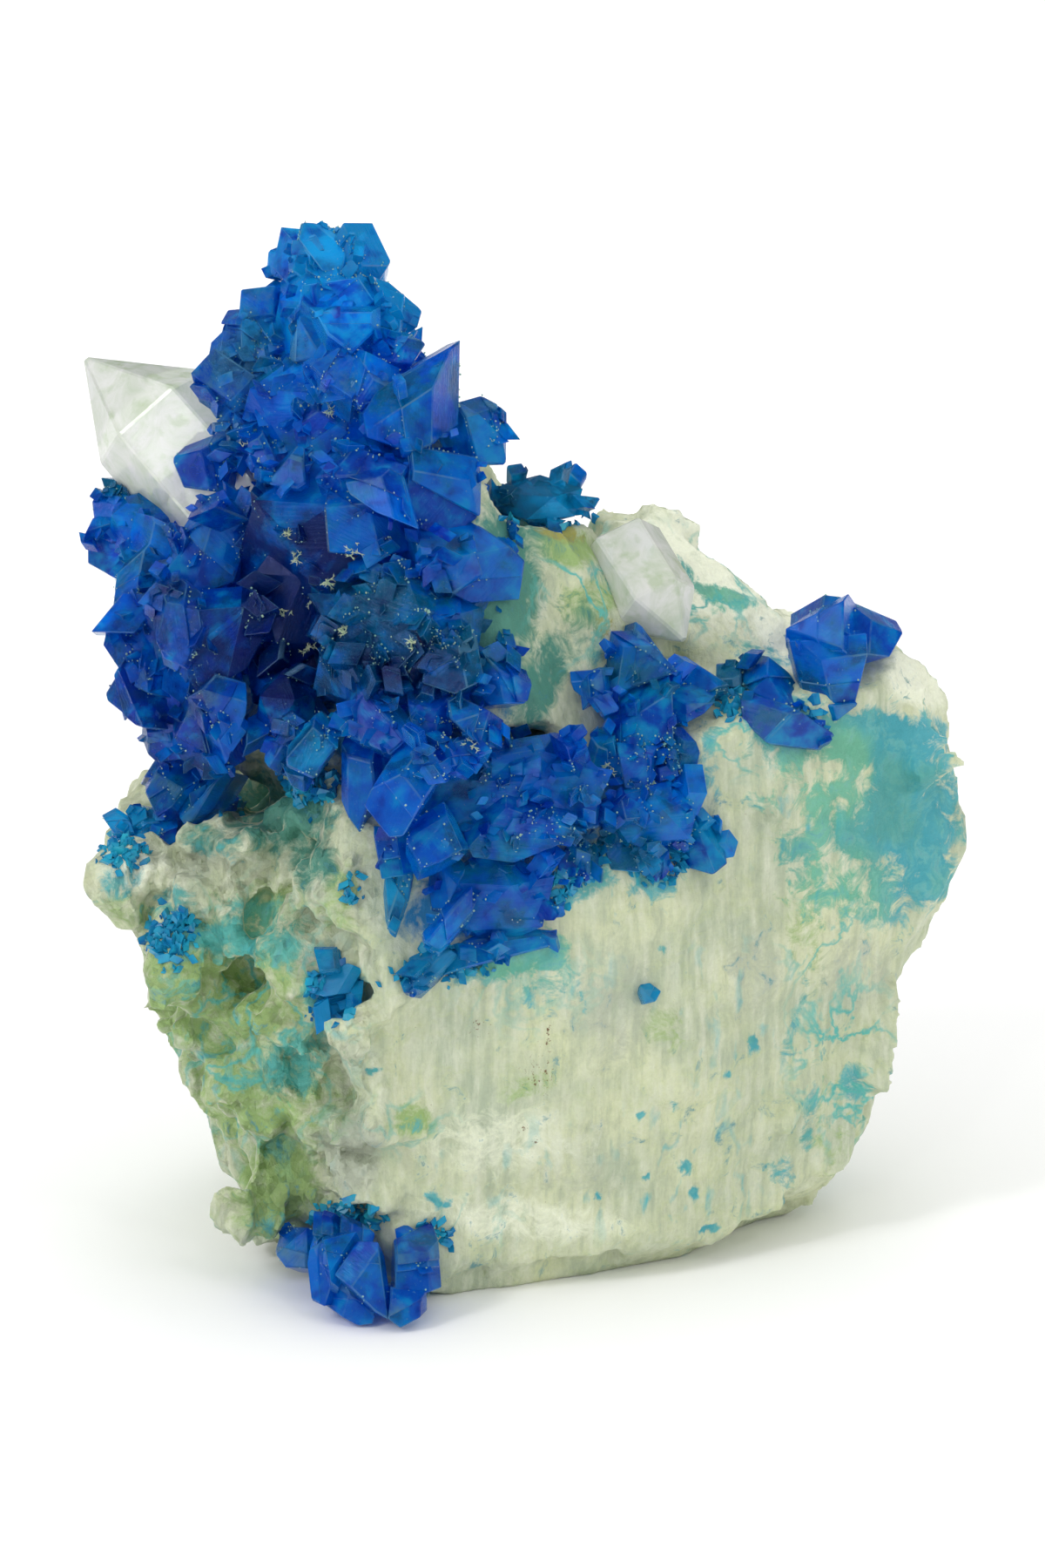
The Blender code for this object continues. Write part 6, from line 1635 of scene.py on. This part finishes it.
def grow_twig(bm, root, direction, length, half, level, chance):
    """Adds a spike and, near its end, smaller ones."""
    axis = direction.normalized()
    side = axis.orthogonal().normalized()
    tip = bm.verts.new(root + axis * length)
    ring = [bm.verts.new(root + (Matrix.Rotation(math.tau * i / 3, 3, axis) @ side) * half) for i in range(3)]
    bm.faces.new(reversed(ring))
    for i in range(3):
        bm.faces.new((ring[i], ring[(i + 1) % 3], tip))
    if level:
        for _ in range(chance.choice((2, 3))):
            spread = Vector(chance.uniform(-1, 1) for _ in range(3))
            grow_twig(bm, root + axis * length * chance.uniform(*TWIG_FORK), axis + spread,
                      length * SMALLER_TWIG[0], half * SMALLER_TWIG[1], level - 1, chance)


chance = random.Random(12)
blue_trees = [BVHTree.FromObject(c, bpy.context.evaluated_depsgraph_get()) for c in clusters.values()]
bm = bmesh.new()
for x, rise in TUFTS:
    start = seen(x, CORNER_Y, rise) - SIGHT_LINE * VIEW_REACH * MM
    hits = [hit for hit in (tree.ray_cast(start, SIGHT_LINE) for tree in blue_trees) if hit[0] is not None]
    if hits:
        place, normal = min(hits, key=lambda hit: hit[3])[:2]
        for _ in range(TUFT_TWIGS):
            outward = normal - SIGHT_LINE + Vector(chance.uniform(-1, 1) for _ in range(3))
            aside = Vector(chance.uniform(-TUFT_SPREAD, TUFT_SPREAD) for _ in range(3)) * MM
            root = place - normal * TUFT_SUNK * MM + aside
            grow_twig(bm, root, outward, TWIG[0] * MM, TWIG[1] * MM, TWIG_LEVELS - 1, chance)
tufts = new_object("salt_tufts", bm)
tufts.data.materials.append(mottled("dried salt", 0.8, "8FB59A", "D8DDB8", {"Roughness": 0.8}))
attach(tufts, "root")
print("the tufts have", len(tufts.data.polygons), "faces")

# %% [markdown]
# The specimen is shown on a plain white floor in even studio light. The camera looks down by the angle that
# the tables were read at, from far off with a long lens, so that the picture has hardly any perspective. A
# tall frame of 1200 x 1800 covers 120 x 180 mm.

# %% Camera
CAMERA_DISTANCE = 1.2
FRAME_HEIGHT = 0.180
SENSOR = 36.0
FARTHEST = 20
AIM = seen(0, FOOT_LINE, 55)
lens = bpy.data.cameras.new("camera")
lens.lens = SENSOR * CAMERA_DISTANCE / FRAME_HEIGHT
lens.clip_end = FARTHEST
camera = bpy.data.objects.new("camera", lens)
bpy.context.scene.collection.objects.link(camera)
camera.location = AIM - SIGHT_LINE * CAMERA_DISTANCE
camera.rotation_euler = SIGHT_LINE.to_track_quat("-Z", "Y").to_euler()
bpy.context.scene.camera = camera
print("the camera is at", [round(v, 3) for v in camera.location])

# %% [markdown]
# A product photograph in a white tent has light from all round, which keeps the shadows soft. Crystals also
# need something to mirror: wide lamps far off, each a bright disc in the sky. The one high on the left is
# placed so that faces which lean up and to the left by the same few degrees catch it and turn lavender. What
# the crystals mirror of the tent itself is dimmer than the tent, like the dark gaps between real lamps, or
# every blue face would be veiled in grey. Three small lamps in front give the wet glints.

# %% Floor and light
ROOM_LIGHT = (0.10, 0.44, 1.1)  # straight below, level and straight above
ROOM_MIRRORED = 0.05
FLOOR_SIZE = 8.0
LAMPS = (
    # the direction it lies in, how wide its disc is in degrees, and its strength
    ((-0.574, -0.487, 0.655), 13, 0.7),
    ((0.70, -0.55, 0.45), 24, 0.25),
    ((0.10, 0.30, 0.95), 30, 0.25),
    ((-0.55, 0.70, 0.35), 30, 0.15),
    ((-0.25, -0.85, 0.46), 4, 0.10),
    ((0.35, -0.60, 0.72), 4, 0.10),
    ((-0.80, -0.45, 0.40), 4, 0.08),
)
bpy.ops.mesh.primitive_plane_add(size=FLOOR_SIZE)
floor = bpy.context.object
floor.name = "floor"
paper, tree, output = new_material("white paper")
white = add_node(tree, "ShaderNodeBsdfPrincipled",
                 {"Base Color": hex_colour("FFFFFF"), "Roughness": 0.9, "Specular IOR Level": 0.1})
tree.links.new(white.outputs[0], output.inputs["Surface"])
floor.data.materials.append(paper)

world = bpy.data.worlds.new("studio")
bpy.context.scene.world = world
world.use_nodes = True
tree = world.node_tree
ray = add_node(tree, "ShaderNodeLightPath")
mirrored = add_node(tree, "ShaderNodeMath", {
    0: (ray, "Is Glossy Ray"), 1: (ray, "Is Transmission Ray")}, operation="SUBTRACT", use_clamp=True)
sky = add_node(tree, "ShaderNodeTexCoord")
parts = add_node(tree, "ShaderNodeSeparateXYZ", {0: (sky, "Generated")})
below = add_node(tree, "ShaderNodeMapRange", {
    "Value": (parts, "Z"), "From Min": -1.0, "From Max": 0.0, "To Min": ROOM_LIGHT[0],
    "To Max": ROOM_LIGHT[1]})
above = add_node(tree, "ShaderNodeMapRange", {
    "Value": (parts, "Z"), "From Min": 0.0, "From Max": 1.0, "To Min": 0.0,
    "To Max": ROOM_LIGHT[2] - ROOM_LIGHT[1]})
light = add_node(tree, "ShaderNodeMath", {0: (below, 0), 1: (above, 0)}, operation="ADD")
room = add_node(tree, "ShaderNodeMix", {0: (mirrored, 0), 2: (light, 0), 3: ROOM_MIRRORED}, data_type="FLOAT")
shown = add_node(tree, "ShaderNodeMix", {0: (ray, "Is Camera Ray"), 2: (room, 0), 3: 1.0}, data_type="FLOAT")
tent = tree.nodes["Background"]
tent.inputs["Color"].default_value = (1, 1, 1, 1)
tree.links.new(shown.outputs[0], tent.inputs["Strength"])
for number, (direction, width, strength) in enumerate(LAMPS):
    lamp = bpy.data.lights.new(f"lamp_{number}", "SUN")
    lamp.angle = math.radians(width)
    lamp.energy = strength
    stand = bpy.data.objects.new(f"lamp_{number}", lamp)
    stand.location = AIM + Vector(direction)
    stand.rotation_euler = (-Vector(direction)).to_track_quat("-Z", "Y").to_euler()
    bpy.context.scene.collection.objects.link(stand)
bpy.context.scene.view_settings.view_transform = "Standard"
print(len(LAMPS), "lamps stand round the specimen")
